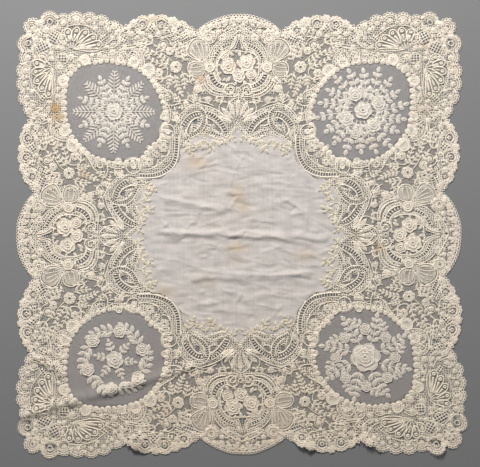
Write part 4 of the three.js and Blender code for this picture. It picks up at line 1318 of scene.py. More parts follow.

# ---- Bows beside the frames ---------------------------------------------------------------------
# A ribbon bow on each side of a frame: a ribbed upper loop and a flatter lower one, both of padded
# bands with sheer net between them, painted darker as painted shade, drawn together at a corded knot.
BOW_KNOT = (33.6, 174.4)
BOW_STRIPS = [
    Strip([1.0, 1.7, 2.0], 0.0, [(33.4, 176.4), (32.0, 182.6), (32.6, 189.4)]),
    Strip([1.0, 1.5, 1.8], 0.0, [(34.4, 176.6), (36, 184), (37.6, 192.8)]),
    Strip([1.0, 1.5, 1.8], 0.0, [(35.4, 176.6), (39.4, 183.6), (42.8, 192.4)]),
    Strip([1.0, 1.5, 1.8], 0.0, [(36.2, 176.2), (42, 181.6), (46.8, 188.4)]),
    Strip([1.0, 1.5, 1.8], 0.0, [(36.6, 175.6), (43, 178.6), (49, 183.2)]),
    Strip([1.0, 1.4, 1.0], 0.0, [(35.6, 173), (42, 172.8), (48.4, 170.4)]),
    Strip([1.0, 1.5, 1.0], 0.0, [(34.8, 170.2), (41.6, 168.4), (48.8, 167.4)]),
    Strip([1.0, 1.5, 1.0], 0.0, [(34.4, 166.4), (40, 163.6), (47.6, 163.6)]),
]
BOW_CORDS = [
    Line(1.3, [
        (31.8, 176), (29.8, 182), (30.2, 189.4), (34, 195), (39.4, 197.2), (44.6, 196), (49.2, 191.4),
        (52, 185.6), (50.6, 181.2), (44.6, 177.6), (37.4, 175),
    ]),
    Line(1.3, [
        (35, 173.6), (41, 174.6), (47.8, 173), (50.6, 168.4), (49.6, 162.8), (45, 159), (39, 158.8),
        (34.6, 162.4), (33.2, 168.4), (33.6, 172.6),
    ]),
]
BOW_LOOPS = [
    [
        (32, 176), (30, 183), (31, 190), (35, 195), (40, 196.6), (45, 195), (49, 190.4), (51, 185),
        (49, 181), (42, 177),
    ],
    [
        (35, 173), (42, 174), (48, 172), (50, 168), (49, 163), (45, 159.6), (39, 159.4), (35, 162.6),
        (33.6, 168),
    ],
]
bows = Work()
# Painted shade: the sheer patch under each loop is painted dark, for the shadows in the gaps between
# its ribs.
for loop in BOW_LOOPS:
    sheer_with_painted_shade = smooth_line(loop, step=1.8, closed=True)
    patch(bows, sheer_with_painted_shade, base=0.4, rise=0.25, tone=0.68, openness=0.45)
work_all(bows, BOW_STRIPS, BOW_CORDS, [Ring(*BOW_KNOT, 2.2, 1.3)])
knots(bows, [BOW_KNOT], r=1.4, base=1.1)
finished("lace_bows", bows)

# ---- The scalloped edging -----------------------------------------------------------------------
# The outer scallops, two to a half side and one shared round the corner: a cord along the edge with
# a row of picots, ringed arches, small flowers and close filling inside it.
EDGE_STRIPS = [
    Strip(3.0, 0.3, [(46, 199), (52, 201.6), (58, 201), (63, 197.4), (67, 197)]),
    Strip(3.0, 0.35, [(94, 197.6), (101, 196.6), (108, 195.4)]),
    Strip(3.6, 0.3, [(64, 206), (66.5, 210.5), (71.6, 211)]),
    Strip(3.4, 0.3, [(83.6, 211), (88, 211.4), (92, 210.4)]),
    Strip(3.0, 0.3, [(110.5, 201), (111.4, 206), (110, 210.4)]),
    Strip(3.4, 0.3, [(120, 206), (119.8, 200), (122.6, 193.6)]),
    Strip(2.6, 0.3, [(74.6, 206.4), (75, 203), (76.4, 200.6)]),
    Strip(2.6, 0.3, [(99.6, 206.8), (99.6, 203), (98, 200.6)]),
]
EDGE_CORDS = [
    Line(1.0, [(46, 198.4), (51.4, 200.4), (58, 199.6), (63.4, 196), (67.6, 195.4)]),
    Line(1.0, [(67, 191.4), (70.4, 196), (76, 198), (82, 196.4)]),
    Line(1.0, [(83, 198.6), (88, 198.6), (94, 196.4), (100, 194.6), (106.4, 193.4)]),
    Line(1.0, [(64, 203.6), (66, 200), (70, 198.8), (74, 200.4)]),
    Line(1.0, [(112.4, 199.4), (109.8, 204), (110.8, 209), (115, 211)]),
    Line(1.0, [(118, 210.4), (116.6, 205.4), (118.4, 200.6), (121.4, 195.4)]),
    Line(1.0, [(88.4, 190.6), (94, 191.4), (101, 191.2), (108, 190.2), (114, 189.4)]),
    Line(1.0, [(96, 188.6), (103, 189), (110, 187.8), (117, 187.4)]),
    Line(0.9, [(44.5, 196.6), (50.5, 193.6), (56, 191.4), (60.8, 190)]),
    Line(0.9, [(45.6, 200), (51.6, 197.4), (57.4, 195)]),
]
EDGE_FLOWERS = [
    Flower(67.2, 213, 5.0, 6), Flower(87.4, 216.2, 4.2, 6), Flower(107, 211.4, 4.0, 6),
    Flower(125, 208.6, 3.4, 5), Flower(80.6, 201.2, 3.2, 5), Flower(65.4, 205.6, 3.2, 5),
    Flower(96.6, 201.6, 2.8, 5), Flower(107.8, 201.6, 3.0, 5), Flower(52.4, 203.6, 2.6, 5),
    Flower(76.6, 196.8, 2.2, 5), Flower(60.6, 209.8, 2.6, 5), Flower(88, 198.6, 2.6, 5),
    Flower(120.6, 203.4, 2.6, 5), Flower(110.6, 207.2, 2.2, 5), Flower(101.6, 198.2, 2.4, 5),
]
EDGE_LEAVES = [
    Leaf(69, 202, 60, 5, 2.4), Leaf(84, 203.6, 120, 5, 2.2), Leaf(91, 203.6, 60, 4, 2.2),
    Leaf(61, 201, 40, 5, 2.4), Leaf(71, 199, -20, 5, 2.2), Leaf(78.4, 206.4, 90, 4, 2.0),
    Leaf(96.8, 206.6, 80, 4, 2.0), Leaf(104, 208.4, 150, 4, 2.2), Leaf(92, 196.2, 20, 5, 2.4),
    Leaf(50, 205.6, 60, 4, 2.4), Leaf(110.6, 203.6, -30, 4, 2.0), Leaf(74.4, 208, 200, 4, 2.2),
    Leaf(83.4, 208.6, -20, 4, 2.2),
]
EDGE_RINGS = [
    Ring(58.4, 205.6, 4.6, 1.0), Ring(58.4, 205.2, 1.2, 1.2), Ring(78, 211.8, 4.6, 1.1),
    Ring(78, 211.4, 1.6, 1.1), Ring(97.2, 210.8, 4.4, 1.1), Ring(97.2, 210.4, 1.5, 1.1),
    Ring(113.4, 204.4, 2.6, 1.0), Ring(87, 206.2, 1.4, 1.0), Ring(102, 203, 1.0, 1.0),
    Ring(115.6, 194.6, 4.4, 0.9, half_y=6.0, turn=30), Ring(115.6, 194.6, 1.0, 1.0),
]


# Arches: a row of knots inside a round cord, from one angle to another.
Arc = namedtuple("Arc", "x y r start end")
EDGE_ARCHES = [
    Arc(58.4, 205.6, 6.6, 60, 250), Arc(78, 211.8, 6.6, -20, 200), Arc(97.2, 210.8, 6.4, -20, 200),
]
ARCH_CORD = 1.2  # how far the cord lies outside the knots
LADDER_PITCH = 2.3
PICOT_PITCH, PICOT_R, PICOT_INSET, PICOT_START = 3.3, 1.3, 1.25, 1.6


def dotted_arc(work, x, y, r, start, end, pitch=1.7, size=0.55, tone=1.1):
    """A row of small knots along an arc."""
    steps = max(int(abs(end - start) / 360 * 2 * math.pi * r / pitch), 2)
    places = [outward(x, y, degrees, r) for degrees in np.linspace(start, end, steps)]
    knots(work, places, size, 0.85, tone)


edging = Work()
work_all(edging, EDGE_STRIPS, EDGE_CORDS, EDGE_RINGS)
flowers(edging, EDGE_FLOWERS)
leaves(edging, EDGE_LEAVES)
for arc in EDGE_ARCHES:
    dotted_arc(edging, *arc, pitch=2.5, size=0.85)
    ring(edging, arc.x, arc.y, arc.r + ARCH_CORD, width=0.9, base=0.75)
ladder_ends = [lobed_edge(EDGE_LOBES, inset, LADDER_PITCH) for inset in (LADDER_OUTER, LADDER_INNER)]
threads(edging, *ladder_ends, width=0.9, base=BAR_BASE)
for inset, width in ((LADDER_OUTER, 1.2), (LADDER_INNER, 1.0)):
    swept(edging, lobed_edge(EDGE_LOBES, inset), ROUND_THREAD, width, width, base=0.75, tone=1.1)
picot_line = lobed_edge(EDGE_LOBES, PICOT_INSET, step=0.4)
lengths = np.linalg.norm(np.diff(picot_line, axis=0), axis=1)
reach = np.concatenate([[0], np.cumsum(lengths)])
for stop in np.arange(PICOT_START, reach[-1], PICOT_PITCH):
    x, y = (np.interp(stop, reach, picot_line[:, i]) for i in (0, 1))
    ring(edging, x, y, PICOT_R, width=0.9, base=0.6, tone=1.12, sides=7)
finished("lace_edging", edging)

# ---- Corner fans --------------------------------------------------------------------------------
# Each corner carries two fans: long looped rays that end in round eyes, ribbed lobes outside them,
# open rosettes between the fans, and a stem band that ties them to the medallion's frame.
FAN_FOOT = (167.5, 185.6)
# A ray's loop: its start, half widths and round end, and where and how far it bends.
RAY_START, RAY_HALF, EYE_R = 8, (0.5, 2.2), 3.7
BEND_AT, BEND_BY = 0.62, 0.7
FAN_EYES = [
    (140.8, 190.6), (146.4, 197), (154.2, 201.6), (163.2, 203.8), (171.8, 202.8), (178.0, 196.6),
]
FAN_STRIPS = [
    Strip(3.0, 0.3, [(119.4, 198), (121.4, 193), (126.4, 188.8), (135, 187.6)]),
    Strip(3.4, 0.35, [(128, 201), (129.8, 206.6), (134, 209)]),
    Strip(3.6, 0.35, [(174, 198), (177.6, 202.6), (179, 206.6), (184, 207.6)]),
    Strip(4.6, 0.35, [(184, 204), (190, 206.6), (197, 205.8), (203, 203)]),
    Strip(3.4, 0.35, [(191.6, 201), (195.6, 197.6), (200, 196)]),
    Strip(4.0, 0.4, [(196, 210), (201, 213), (205.6, 209)]),
    Strip(3.0, 0.3, [(170, 190), (176, 190.6), (180, 186.6)]),
    Strip(3.0, 0.3, [(181, 188), (186, 186.4), (187.4, 187.4)]),
]
FAN_CORDS = [
    Line(1.2, [(117.6, 198.6), (120, 192), (125, 187.6), (131, 186.6)]),
    Line(1.1, [(136, 187.4), (142, 184.6), (150, 184), (158, 185), (165, 186)]),
    Line(1.0, [(132, 181.6), (137, 183.4), (143, 181.4), (148, 181.6)]),
    Line(1.0, [(161, 179.4), (165.4, 182.4), (171, 182), (174, 178.4)]),
    Line(1.0, [(141.4, 187.6), (149, 186.6), (157.4, 187), (163, 188.4)]),
    Line(0.9, [(143.6, 189.8), (150.4, 188.4), (157, 188.6)]),
    Line(1.0, [(122.6, 204.6), (124.8, 198.6), (129, 193.4), (135.6, 190)]),
    Line(0.9, [(125, 208), (126, 202.6), (128.6, 197.4)]),
    Line(1.0, [
        (136.6, 197.6), (141.6, 201.6), (147.4, 206), (154.6, 208.6), (163, 209.6), (171.6, 208.6),
        (176.6, 204),
    ]),
    Line(1.0, [(175.6, 205.4), (178.6, 201.4), (178.2, 196), (176, 191)]),
]
FAN_RINGS = [
    Ring(185.6, 196, 7.8, 1.1), Ring(191, 213.6, 8.2, 1.0), Ring(191, 212.4, 2.6, 1.1),
    Ring(177.6, 209.6, 5.0, 1.0), Ring(199.8, 200.4, 1.9, 1.0), Ring(154.2, 175.8, 5.2, 1.1),
    Ring(154.6, 175.6, 1.8, 1.1), Ring(142.4, 175.4, 2.1, 1.1), Ring(163.6, 213.4, 4.2, 0.9),
    Ring(205.6, 196.4, 3.0, 1.0),
]
FAN_ARCS = [
    Arc(185.6, 196, 9.4, 100, 200), Arc(191, 213.6, 6.4, -10, 190), Arc(191, 213.6, 9.6, 20, 150),
    Arc(154.2, 175.8, 3.4, 150, 400), Arc(177.6, 209.6, 3.4, 60, 300),
]
FAN_LEAVES = [
    Leaf(170, 193, 95, 8, 2.6), Leaf(196, 191.5, 45, 7, 3), Leaf(203, 208, 100, 7, 3),
    Leaf(181.6, 205, 30, 7, 3), Leaf(130, 188.6, 150, 7, 3), Leaf(182, 190, 80, 5, 2.4),
    Leaf(197, 205.6, 60, 7, 3), Leaf(207, 202, 80, 6, 2.6), Leaf(122.4, 206, 60, 4, 2.2),
    Leaf(130.4, 209, 40, 5, 2.6), Leaf(146, 209.4, 100, 4, 2.2), Leaf(157.6, 210, 80, 4, 2.2),
]
# Places on the corner's diagonal, along each side.
CORNER_EYE, STAR_OF_LEAVES, LEAF_PAIR, LATTICE_RING, CORNER_FLOWER = 208.3, 190.5, 183.5, 176.5, 167.5
LOBE_DROP = 0.6
FAN_LOBES = [
    Bloom(138, 212.5, 8), Bloom(151, 214.5, 8.5), Bloom(164, 214.5, 8.5), Bloom(177, 212, 8.5),
]
FAN_FLOWERS = [
    Flower(126.6, 183, 3.2, 5), Flower(139.4, 180.6, 2.6, 5), Flower(147, 180.4, 2.4, 5),
    Flower(168.4, 178.6, 3.4, 6), Flower(133, 188.4, 2.2, 5), Flower(114.6, 188.8, 2.6, 5),
    Flower(121.4, 200.6, 2.6, 5), Flower(126.4, 196.8, 2.4, 5), Flower(176.6, 186.6, 2.6, 5),
    Flower(194.4, 204.6, 3.4, 6), Flower(188, 205.4, 2.4, 5), Flower(202.4, 204, 2.6, 5),
    Flower(181, 187.4, 2.2, 5), Flower(199, 212, 2.8, 5), Flower(130, 205, 2.6, 5),
    Flower(144, 206.4, 2.4, 5),
]

fans, corners = Work(), Work()
work_all(fans, FAN_STRIPS, FAN_CORDS, FAN_RINGS)
foot = np.array(FAN_FOOT)
for eye in FAN_EYES:
    eye = np.array(eye)
    run = eye - foot
    along = run / np.hypot(*run)
    left = np.array([-along[1], along[0]])
    near = foot + along * RAY_START
    bend = foot + run * BEND_AT - left * BEND_BY
    near_half, bend_half = (left * half for half in RAY_HALF)
    loop = [near + near_half, bend + bend_half, eye + left * EYE_R]
    loop.append(eye + along * EYE_R)
    loop += [eye - left * EYE_R, bend - bend_half, near - near_half]
    cord(fans, loop, width=1.3, base=1.0, tone=1.12)
    middle = [near + along * 2, bend, eye - along * 3]
    band(fans, middle, [0.7, 1.5, 2.2], base=0.5, rise=0.5, tone=1.02, openness=0.1)
    patch(fans, round_outline(*eye, 2.1, sides=10), base=0.5, rise=0.8, tone=1.1, openness=0.0)
    stalk = [foot + along, foot + along * 5, near + along * 2]
    band(fans, stalk, [0.8, 1.5, 1.0], base=0.5, rise=0.5, tone=0.98, openness=0.1)
    ring(fans, *eye, r=1.3, width=0.9, base=1.5, tone=1.14, sides=8)
flowers(fans, FAN_FLOWERS)
for x, y, r in FAN_LOBES:
    outwards = math.degrees(math.atan2(y - foot[1], x - foot[0]))
    flower(fans, x, y - LOBE_DROP, 3.0, petals=6, turn=x)
    dotted_arc(fans, x, y - LOBE_DROP, 4.8, outwards - 100, outwards + 100, pitch=2.4, size=0.8)
    for spread in (-72, 72):
        tip = outward(x, y, outwards + spread, r - 2.4)
        leaf(fans, *tip, outwards + 180 - spread * 0.3, length=6, width=2.6)
        middle = tip - turned([(4.6, 0)], outwards)[0]
        dotted_arc(fans, *middle, 2.0, 0, 300, pitch=2.1, size=0.7)
for arc in FAN_ARCS:
    dotted_arc(fans, *arc)
leaves(fans, FAN_LEAVES)
for r, width in ((6.2, 1.1), (2.4, 1.2)):
    ring(corners, CORNER_EYE, CORNER_EYE, r, width)
dotted_arc(corners, CORNER_EYE, CORNER_EYE, 4.4, -60, 150)
dotted_arc(corners, CORNER_EYE, CORNER_EYE, 8.0, -50, 140)
ring(corners, LATTICE_RING, LATTICE_RING, r=5.6, width=1.1)
for degrees in (20, 70, 200, 250):
    leaf(corners, STAR_OF_LEAVES, STAR_OF_LEAVES, degrees, length=6, width=2.8)
flower(corners, CORNER_FLOWER, CORNER_FLOWER, 3.8, petals=6)
for side in (-1, 1):
    x, y = LEAF_PAIR - side * 0.5, LEAF_PAIR + side * 0.5
    leaf(corners, x, y, 45 + side * 60, length=6, width=3)
finished("lace_fans", fans, corners)

# ---- Flowers and leaves on the net --------------------------------------------------------------
# Sprays of ordinary flowers, buds and leaves that cover most of the plain net between the frames.
# They are of the same thread: close-stitched leaves and petals, worked on corded stems.
FIELD_FLOWERS = [
    Flower(62.5, 168.5, 6.4, 7, 10), Flower(75.2, 190.2, 3.2, 5, 0), Flower(79.4, 163, 4.6, 6, 0),
    Flower(69, 184.4, 4.4, 6, 10), Flower(52.6, 133, 3.0, 5, 0), Flower(30, 136, 3.6, 6, 0),
]
Sprig = namedtuple("Sprig", "points pairs length width")
FIELD_SPRIGS = [
    Sprig([(63.4, 161), (62.4, 155), (60, 148), (57, 142)], 5, 6.2, 2.7),
    Sprig([(67.4, 162), (68.4, 156), (69.4, 151)], 3, 6.0, 2.7),
    Sprig([(56.6, 164), (54.4, 159), (53.4, 154), (53.4, 150)], 3, 6.0, 2.7),
    Sprig([(69, 170.4), (74, 175), (79, 179.4), (84, 182.6)], 4, 6.0, 2.7),
    Sprig([(70, 166), (75.6, 170.4), (81.6, 172), (87, 174.6), (92, 178.6)], 5, 5.7, 2.4),
    Sprig([(62.4, 176), (60, 181), (61.4, 186), (66, 190)], 4, 6.2, 2.7),
    Sprig([(56, 173.6), (53.8, 178.6), (54.8, 184.6), (57.4, 190)], 4, 6.0, 2.7),
    Sprig([(90.6, 187.6), (96, 189.6), (102.4, 191.4)], 3, 5.7, 2.7),
    Sprig([(84, 190.6), (88.6, 193.6), (94.6, 194.4)], 2, 5.7, 2.4),
    Sprig([(72, 157), (77, 156.6), (82, 159), (86, 163.6)], 3, 5.5, 2.4),
    Sprig([(51, 143.6), (47, 137), (41.6, 135.6), (36, 137)], 3, 5.5, 2.4),
    Sprig([(56, 131), (60.6, 134.4), (62.4, 139)], 2, 5.5, 2.4),
    Sprig([(46.4, 131.6), (51, 129), (57.4, 128)], 3, 5.2, 2.4),
    Sprig([(25, 134), (19.6, 135.6), (14.4, 134)], 2, 5.5, 2.7),
    Sprig([(45.4, 151), (48.2, 156), (48.6, 161.4)], 2, 5.7, 2.4),
    Sprig([(86, 179.6), (90.4, 183.4), (96.4, 185.6)], 3, 6.0, 2.7),
    Sprig([(60.4, 112), (63, 118), (63.4, 125)], 2, 5.5, 2.7),
    Sprig([(36, 141), (35.6, 146.4), (38.4, 151.6), (43, 155)], 3, 4.9, 2.4),
    Sprig([(73, 182.6), (77, 186), (81.6, 188.6)], 2, 5.7, 2.7),
]


def sprig(work, points, pairs, length, width, opening=46):
    """A stem with pairs of leaves that grow shorter towards the leaf at its tip."""
    line = smooth_line(points, 0.5)
    cord(work, points, 1.0, 0.8)
    for i in range(pairs):
        at = int((i + 0.5) / pairs * (len(line) - 2))
        ahead = line[at + 1] - line[at]
        heading = math.degrees(math.atan2(ahead[1], ahead[0]))
        for side in (-1, 1):
            shorter = length * (1 - 0.4 * i / pairs)
            leaf(work, *line[at], heading + side * opening, shorter, width, base=0.45, rise=0.5)
    leaf(work, *line[-2], heading, length * 0.8, width, base=0.45, rise=0.5)


FIELD_STRIPS = [
    Strip(2.6, 0.3, [(36, 155.4), (40.6, 150), (42, 144)]),
    Strip(3.2, 0.35, [(60, 112.6), (61, 106.6), (60, 101)]),
]
FIELD_CORDS = [
    Line(1.0, [(71, 168), (70.6, 162), (73.6, 157.6), (79, 156.4), (84.6, 158.4)]),
    Line(1.0, [(91, 189.8), (96, 192), (102, 193)]),
    Line(0.9, [(50.6, 178.8), (53, 180.8), (58, 180), (64, 178.6)]),
    Line(1.1, [(51.6, 192.6), (52.4, 186), (51.6, 180)]),
    Line(0.9, [(39, 155), (43.4, 149), (44.6, 143), (46.6, 138)]),
    Line(1.0, [(24, 129.4), (30, 132.4), (37, 134), (42.4, 133)]),
    Line(0.9, [(44, 133), (51.6, 136.4), (58, 134.6), (64, 133.8)]),
    Line(0.9, [(66, 174), (71, 178.6), (77, 182)]),
    Line(0.9, [(57, 116), (59.4, 113), (61, 109)]),
    Line(0.9, [(92, 171), (96, 170), (99, 173)]),
]
FIELD_RINGS = [
    Ring(75.2, 190.2, 4.4, 0.8), Ring(61.8, 118.8, 3.6, 1.1),
    Ring(43.2, 138.8, 2.6, 0.9, half_y=4.8), Ring(38.5, 147.5, 2.8, 0.9),
    Ring(13.4, 140.6, 2.0, 0.9),
]
field = Work()
work_all(field, FIELD_STRIPS, FIELD_CORDS, FIELD_RINGS)
flowers(field, FIELD_FLOWERS)
for each in FIELD_SPRIGS:
    sprig(field, *each)
finished("lace_flowers", field)

# ---- Medallion frames ---------------------------------------------------------------------------
# The thick, toothed rim round each medallion opening, with round lobes of bar-work outside it and a
# volute at each side. It is padded along the opening, where the sheer net is sewn in.
RIM_STRIPS = [
    Strip(6.4, 0.3, [(98.4, 168.6), (91, 161.4), (83.6, 153), (78, 146), (73.4, 143), (68, 141.4)]),
    Strip(5.2, 0.25, [(72.6, 131), (72.2, 124), (71.6, 118), (69.4, 112.6)]),
    Strip(3.6, 0.25, [(73.4, 97.6), (76.6, 101.4), (76.8, 107), (73.6, 112.4)]),
    Strip(4.6, 0.3, [(98, 171), (97.4, 177.6), (101.6, 183.6), (108.4, 185.6)]),
    Strip(3.6, 0.3, [(108.4, 183.4), (110, 177.6), (108.6, 173.4)]),
    Strip(3.6, 0.3, [(110, 184.6), (116.4, 184.6), (120, 179.6), (119, 174.6)]),
    Strip(3.6, 0.35, [(121.6, 182), (126.4, 181.6), (132, 180), (137.4, 178.4)]),
    Strip(3.0, 0.25, [(146.6, 178.4), (148.4, 174.6)]),
    Strip(3.6, 0.3, [(159.4, 176.4), (163.4, 173), (166, 171)]),
]
RIM_CORDS = [
    Line(1.2, [
        (69, 129.8), (72.6, 131.8), (75.4, 136), (73.6, 140), (69.8, 140.4), (67.8, 137.6),
        (69.4, 135.2), (71.4, 136),
    ]),
    Line(1.2, [(62, 130.8), (66.4, 130.2), (70, 130.6)]),
    Line(1.2, [
        (64.4, 133), (63.8, 138), (66.6, 143.4), (72.4, 146.6), (79.6, 151), (86, 157), (92, 163),
        (96.6, 168.4),
    ]),
    Line(1.0, [(69.6, 145), (76, 146.6), (82, 150.6), (88, 156.8), (94, 163.2)]),
    Line(1.1, [(68.6, 113), (67.4, 119), (68.2, 125.6), (69.6, 130)]),
    Line(1.2, [(95, 168.6), (94.4, 175.6), (97.8, 183.4), (104.4, 187.4), (111.4, 186.6)]),
    Line(1.0, [
        (99.6, 171.6), (99, 177.4), (102.4, 182.6), (107.6, 183.6), (110.4, 179.4), (109.6, 174),
    ]),
    Line(1.0, [(112.4, 174.4), (111.6, 179.6), (114.6, 183.4), (118.6, 181.6), (118.6, 176.8)]),
    Line(1.1, [(111, 187), (118, 186), (121.6, 181.6), (121.4, 176.6)]),
    Line(1.0, [(122.6, 176.4), (124.4, 180), (129, 180), (131.4, 176.4)]),
    Line(1.0, [(132, 176.6), (134.6, 179.6), (138.4, 178.6), (139.8, 175.4)]),
    Line(1.0, [(159.6, 172.4), (161.4, 177.4), (166.4, 178), (169.4, 173.6)]),
]
RIM_EYES = [
    Bloom(104, 176, 1.6), Bloom(126.6, 178, 1.5), Bloom(135.4, 176.8, 1.4), Bloom(164.6, 174.6, 1.8),
    Bloom(88.6, 88.6, 2.0),
]
RIM_LOBES = [
    Bloom(90.4, 165.4, 6.2), Bloom(104.4, 173.4, 5.0), Bloom(118, 175.6, 3.6),
    Bloom(154.4, 175.2, 4.8), Bloom(74.6, 119, 3.0),
]
# How far the rim's middle, teeth and knots lie outside the opening.
RIM_OUT, TOOTH_OUT, RIM_KNOTS_OUT = 3.6, 1.3, 4.2
RIM_WIDTH, TOOTH_PITCH, TOOTH_R, RIM_KNOT_PITCH = 4.6, 5.8, 3.1, 2.4
rims, whole_rims = Work(), Work()
work_all(rims, RIM_STRIPS, RIM_CORDS)
for x, y, r in RIM_EYES:
    ring(rims, x, y, r, width=0.9)
rim_line = medallion_outline(-RIM_OUT, 2.0)
swept(whole_rims, rim_line, LOW_BAND, RIM_WIDTH, 0.4, 0.4, closed=True, tone=0.88, openness=0.66)
tooth_rng = np.random.default_rng(5)
for x, y in medallion_outline(-TOOTH_OUT, TOOTH_PITCH):
    r = TOOTH_R * tooth_rng.uniform(0.75, 1.1)
    patch(whole_rims, round_outline(x, y, r, sides=10), base=0.5, rise=0.7, openness=0.3)
    ring(whole_rims, x, y, 0.42 * r, width=0.9, base=1.0, sides=7)
knots(whole_rims, medallion_outline(-RIM_KNOTS_OUT, RIM_KNOT_PITCH), r=0.75, base=0.95)
for x, y, r in RIM_LOBES:
    patch(rims, round_outline(x, y, r, sides=16), base=0.5, rise=0.5, tone=0.96, openness=0.35)
    ring(rims, x, y, r, width=1.2, base=0.95)
    dotted_arc(rims, x, y, r - 1.9, 0, 330, pitch=2.2, size=0.7)
finished("lace_medallion_frames", rims, whole_rims)

# ---- Leaf sprigs on the linen -------------------------------------------------------------------
# Small toothed leaves of cream lace, appliqued onto the linen where the inner rim points inwards.
# Each is worked by itself, in a yellower thread, and sewn down so that it follows the creases.
SPRIG_COLOUR = (0.80, 0.725, 0.60)
LINEN_SPRIGS = [
    Sprig([(21, 99), (22.6, 93), (27, 87)], 2, 8.4, 4.0),
    Sprig([(33, 99), (34.4, 93.4), (38.6, 90), (44, 89)], 3, 6.8, 3.3),
    Sprig([(51, 95), (50, 89), (46.6, 83.6)], 3, 6.6, 3.2),
    Sprig([(12, 99.6), (14.6, 95.2)], 1, 6.4, 3.2),
    Sprig([(8.6, 104), (6.8, 99.6), (3.8, 96.4)], 1, 5.4, 2.8),
]
sprigs = Work()
for each in LINEN_SPRIGS:
    sprig(sprigs, *each)
SPRIG = lace_material("cream sprig thread", SPRIG_COLOUR)
sprig_piece = finished("linen_leaf_sprigs", sprigs, material=SPRIG, over=linen_height)

# ---- The four medallions ------------------------------------------------------------------------
# Panels of fine sheer net let into the corners, each with a raised spray worked on it in a whiter
# thread. The sprays are ordinary flowers and leaves, a different one in each corner.
MEDALLION_NET_COLOUR, SPRAY_COLOUR = (0.70, 0.655, 0.63), (0.80, 0.74, 0.665)
MEDALLION_NET = lace_material("medallion net", MEDALLION_NET_COLOUR, 0.8)
SPRAY_THREAD = lace_material("white spray thread", SPRAY_COLOUR)
PANEL_SEAM, PANEL_OPENNESS = 0.3, 0.95  # the panel's gap to its rim, and how open it is
FERN_LEAFLETS, FERN_START, FERN_LENGTH, FERN_WIDTH = 9, 7, 33, 13
LEAFLET_TURN, LEAFLET_WIDTH = 52, 1.9
DOUBLE_ROSE_FROM = 12  # the radius from which a rose has a smaller one on top
UPPER_ROSE = 0.62


def fern(work, x, y, degrees, length, width):
    """A fern leaf: pairs of narrow leaflets on a corded stem."""
    tip = outward(x, y, degrees, length)
    cord(work, [(x, y), (np.array([x, y]) + tip) / 2, tip], width=0.9, base=0.95)
    for i in range(FERN_LEAFLETS):
        share = (i + 0.7) / FERN_LEAFLETS
        stem = outward(x, y, degrees, length * share)
        reach = width * 0.62 * math.sin(math.pi * (0.18 + 0.74 * share)) + 0.8
        for side in (-1, 1):
            leaflet = petal_outline(*stem, degrees + side * LEAFLET_TURN, reach, LEAFLET_WIDTH, True)
            patch(work, leaflet, base=0.5, rise=0.5, tone=1.04, openness=0.05)


def branch(work, foot_r, foot_turn, tip_r, tip_turn, pairs, length, width):
    """A sprig on the panel: its foot and its tip, as radius and angle round the panel's middle."""
    stops = zip(np.linspace(foot_r, tip_r, 4), np.linspace(foot_turn, tip_turn, 4))
    sprig(work, [outward(*MEDALLION, degrees, r) for r, degrees in stops], pairs, length, width)


# The flowers, branches and ferns of each spray, measured from the panel's middle.
Branch = namedtuple("Branch", "foot_r foot_turn tip_r tip_turn pairs length width")
Spray = namedtuple("Spray", "place copy blooms branches ferns")
SCATTERED = [
    Bloom(1, 1, 9), Bloom(-16, -7, 7.5), Bloom(11, -14, 7.5), Bloom(-7, 17, 7), Bloom(16, 8, 7),
    Bloom(-7, -22, 5.5),
]
RING_OF_BUDS = [Bloom(*outward(0, 0, a, 29), 5.6) for a in range(0, 360, 45)]
WREATH = [Bloom(*outward(0, 0, a, 29), 6.6) for a in range(20, 380, 60)]
SCATTERED_BRANCHES = [Branch(10, a, 41 - a % 3 * 2, a + 8, 4, 9.4, 4.6) for a in range(0, 360, 20)]
STAR_BRANCHES = [Branch(14, a, 41, a + 6, 4, 10.0, 4.8) for a in range(22, 382, 45)]
STAR_BRANCHES += [Branch(31, a + 6, 38, a + 18, 2, 7.4, 4.0) for a in range(0, 360, 45)]
WREATH_BRANCHES = [Branch(27, a + 8, 34, a + 54, 4, 10.4, 4.8) for a in range(20, 380, 60)]
WREATH_BRANCHES += [Branch(7, a, 18, a, 2, 6.6, 3.6) for a in range(50, 410, 60)]
FERN_BRANCHES = [Branch(8, a + 22, 33, a + 23, 4, 8.6, 4.2) for a in range(0, 360, 45)]
SPRAYS = [
    Spray("ne", 0, SCATTERED, SCATTERED_BRANCHES, 0),
    Spray("se", 2, [Bloom(0, 0, 15)] + RING_OF_BUDS, STAR_BRANCHES, 0),
    Spray("sw", 4, [Bloom(0, 0, 8.5)] + WREATH, WREATH_BRANCHES, 0),
    Spray("nw", 6, [Bloom(0, 0, 9)], FERN_BRANCHES, 8),
]
for spray in SPRAYS:
    outline = drifted(in_copy(medallion_outline(PANEL_SEAM), spray.copy))
    panel_xy, panel_faces, _ = cut_out(outline, [], cloth_grid)
    panel_points, panel_faces = net_sheet(panel_xy, panel_faces)
    panel = make_piece(
        "medallion_net_" + spray.place,
        panel_points,
        panel_faces,
        tone=np.ones(len(panel_points)),
        openness=np.full(len(panel_points), PANEL_OPENNESS),
        material=MEDALLION_NET,
    )
    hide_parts("medallion_" + spray.place)
    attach(panel, "root")
    worked = Work()
    for each in spray.branches:
        branch(worked, *each)
    for i in range(spray.ferns):
        degrees = 360 * i / spray.ferns
        foot = outward(*MEDALLION, degrees, FERN_START)
        fern(worked, *foot, degrees, FERN_LENGTH, FERN_WIDTH)
    for bloom in spray.blooms:
        rose(worked, *(MEDALLION + (bloom.x, bloom.y)), bloom.r, turn=bloom.x * 9, base=0.75)
        if bloom.r > DOUBLE_ROSE_FROM:
            rose(worked, *MEDALLION, bloom.r * UPPER_ROSE, turn=20, base=1.3)
    name = "medallion_spray_" + spray.place
    spray_piece = finished(name, worked, material=SPRAY_THREAD, copies=(spray.copy,))
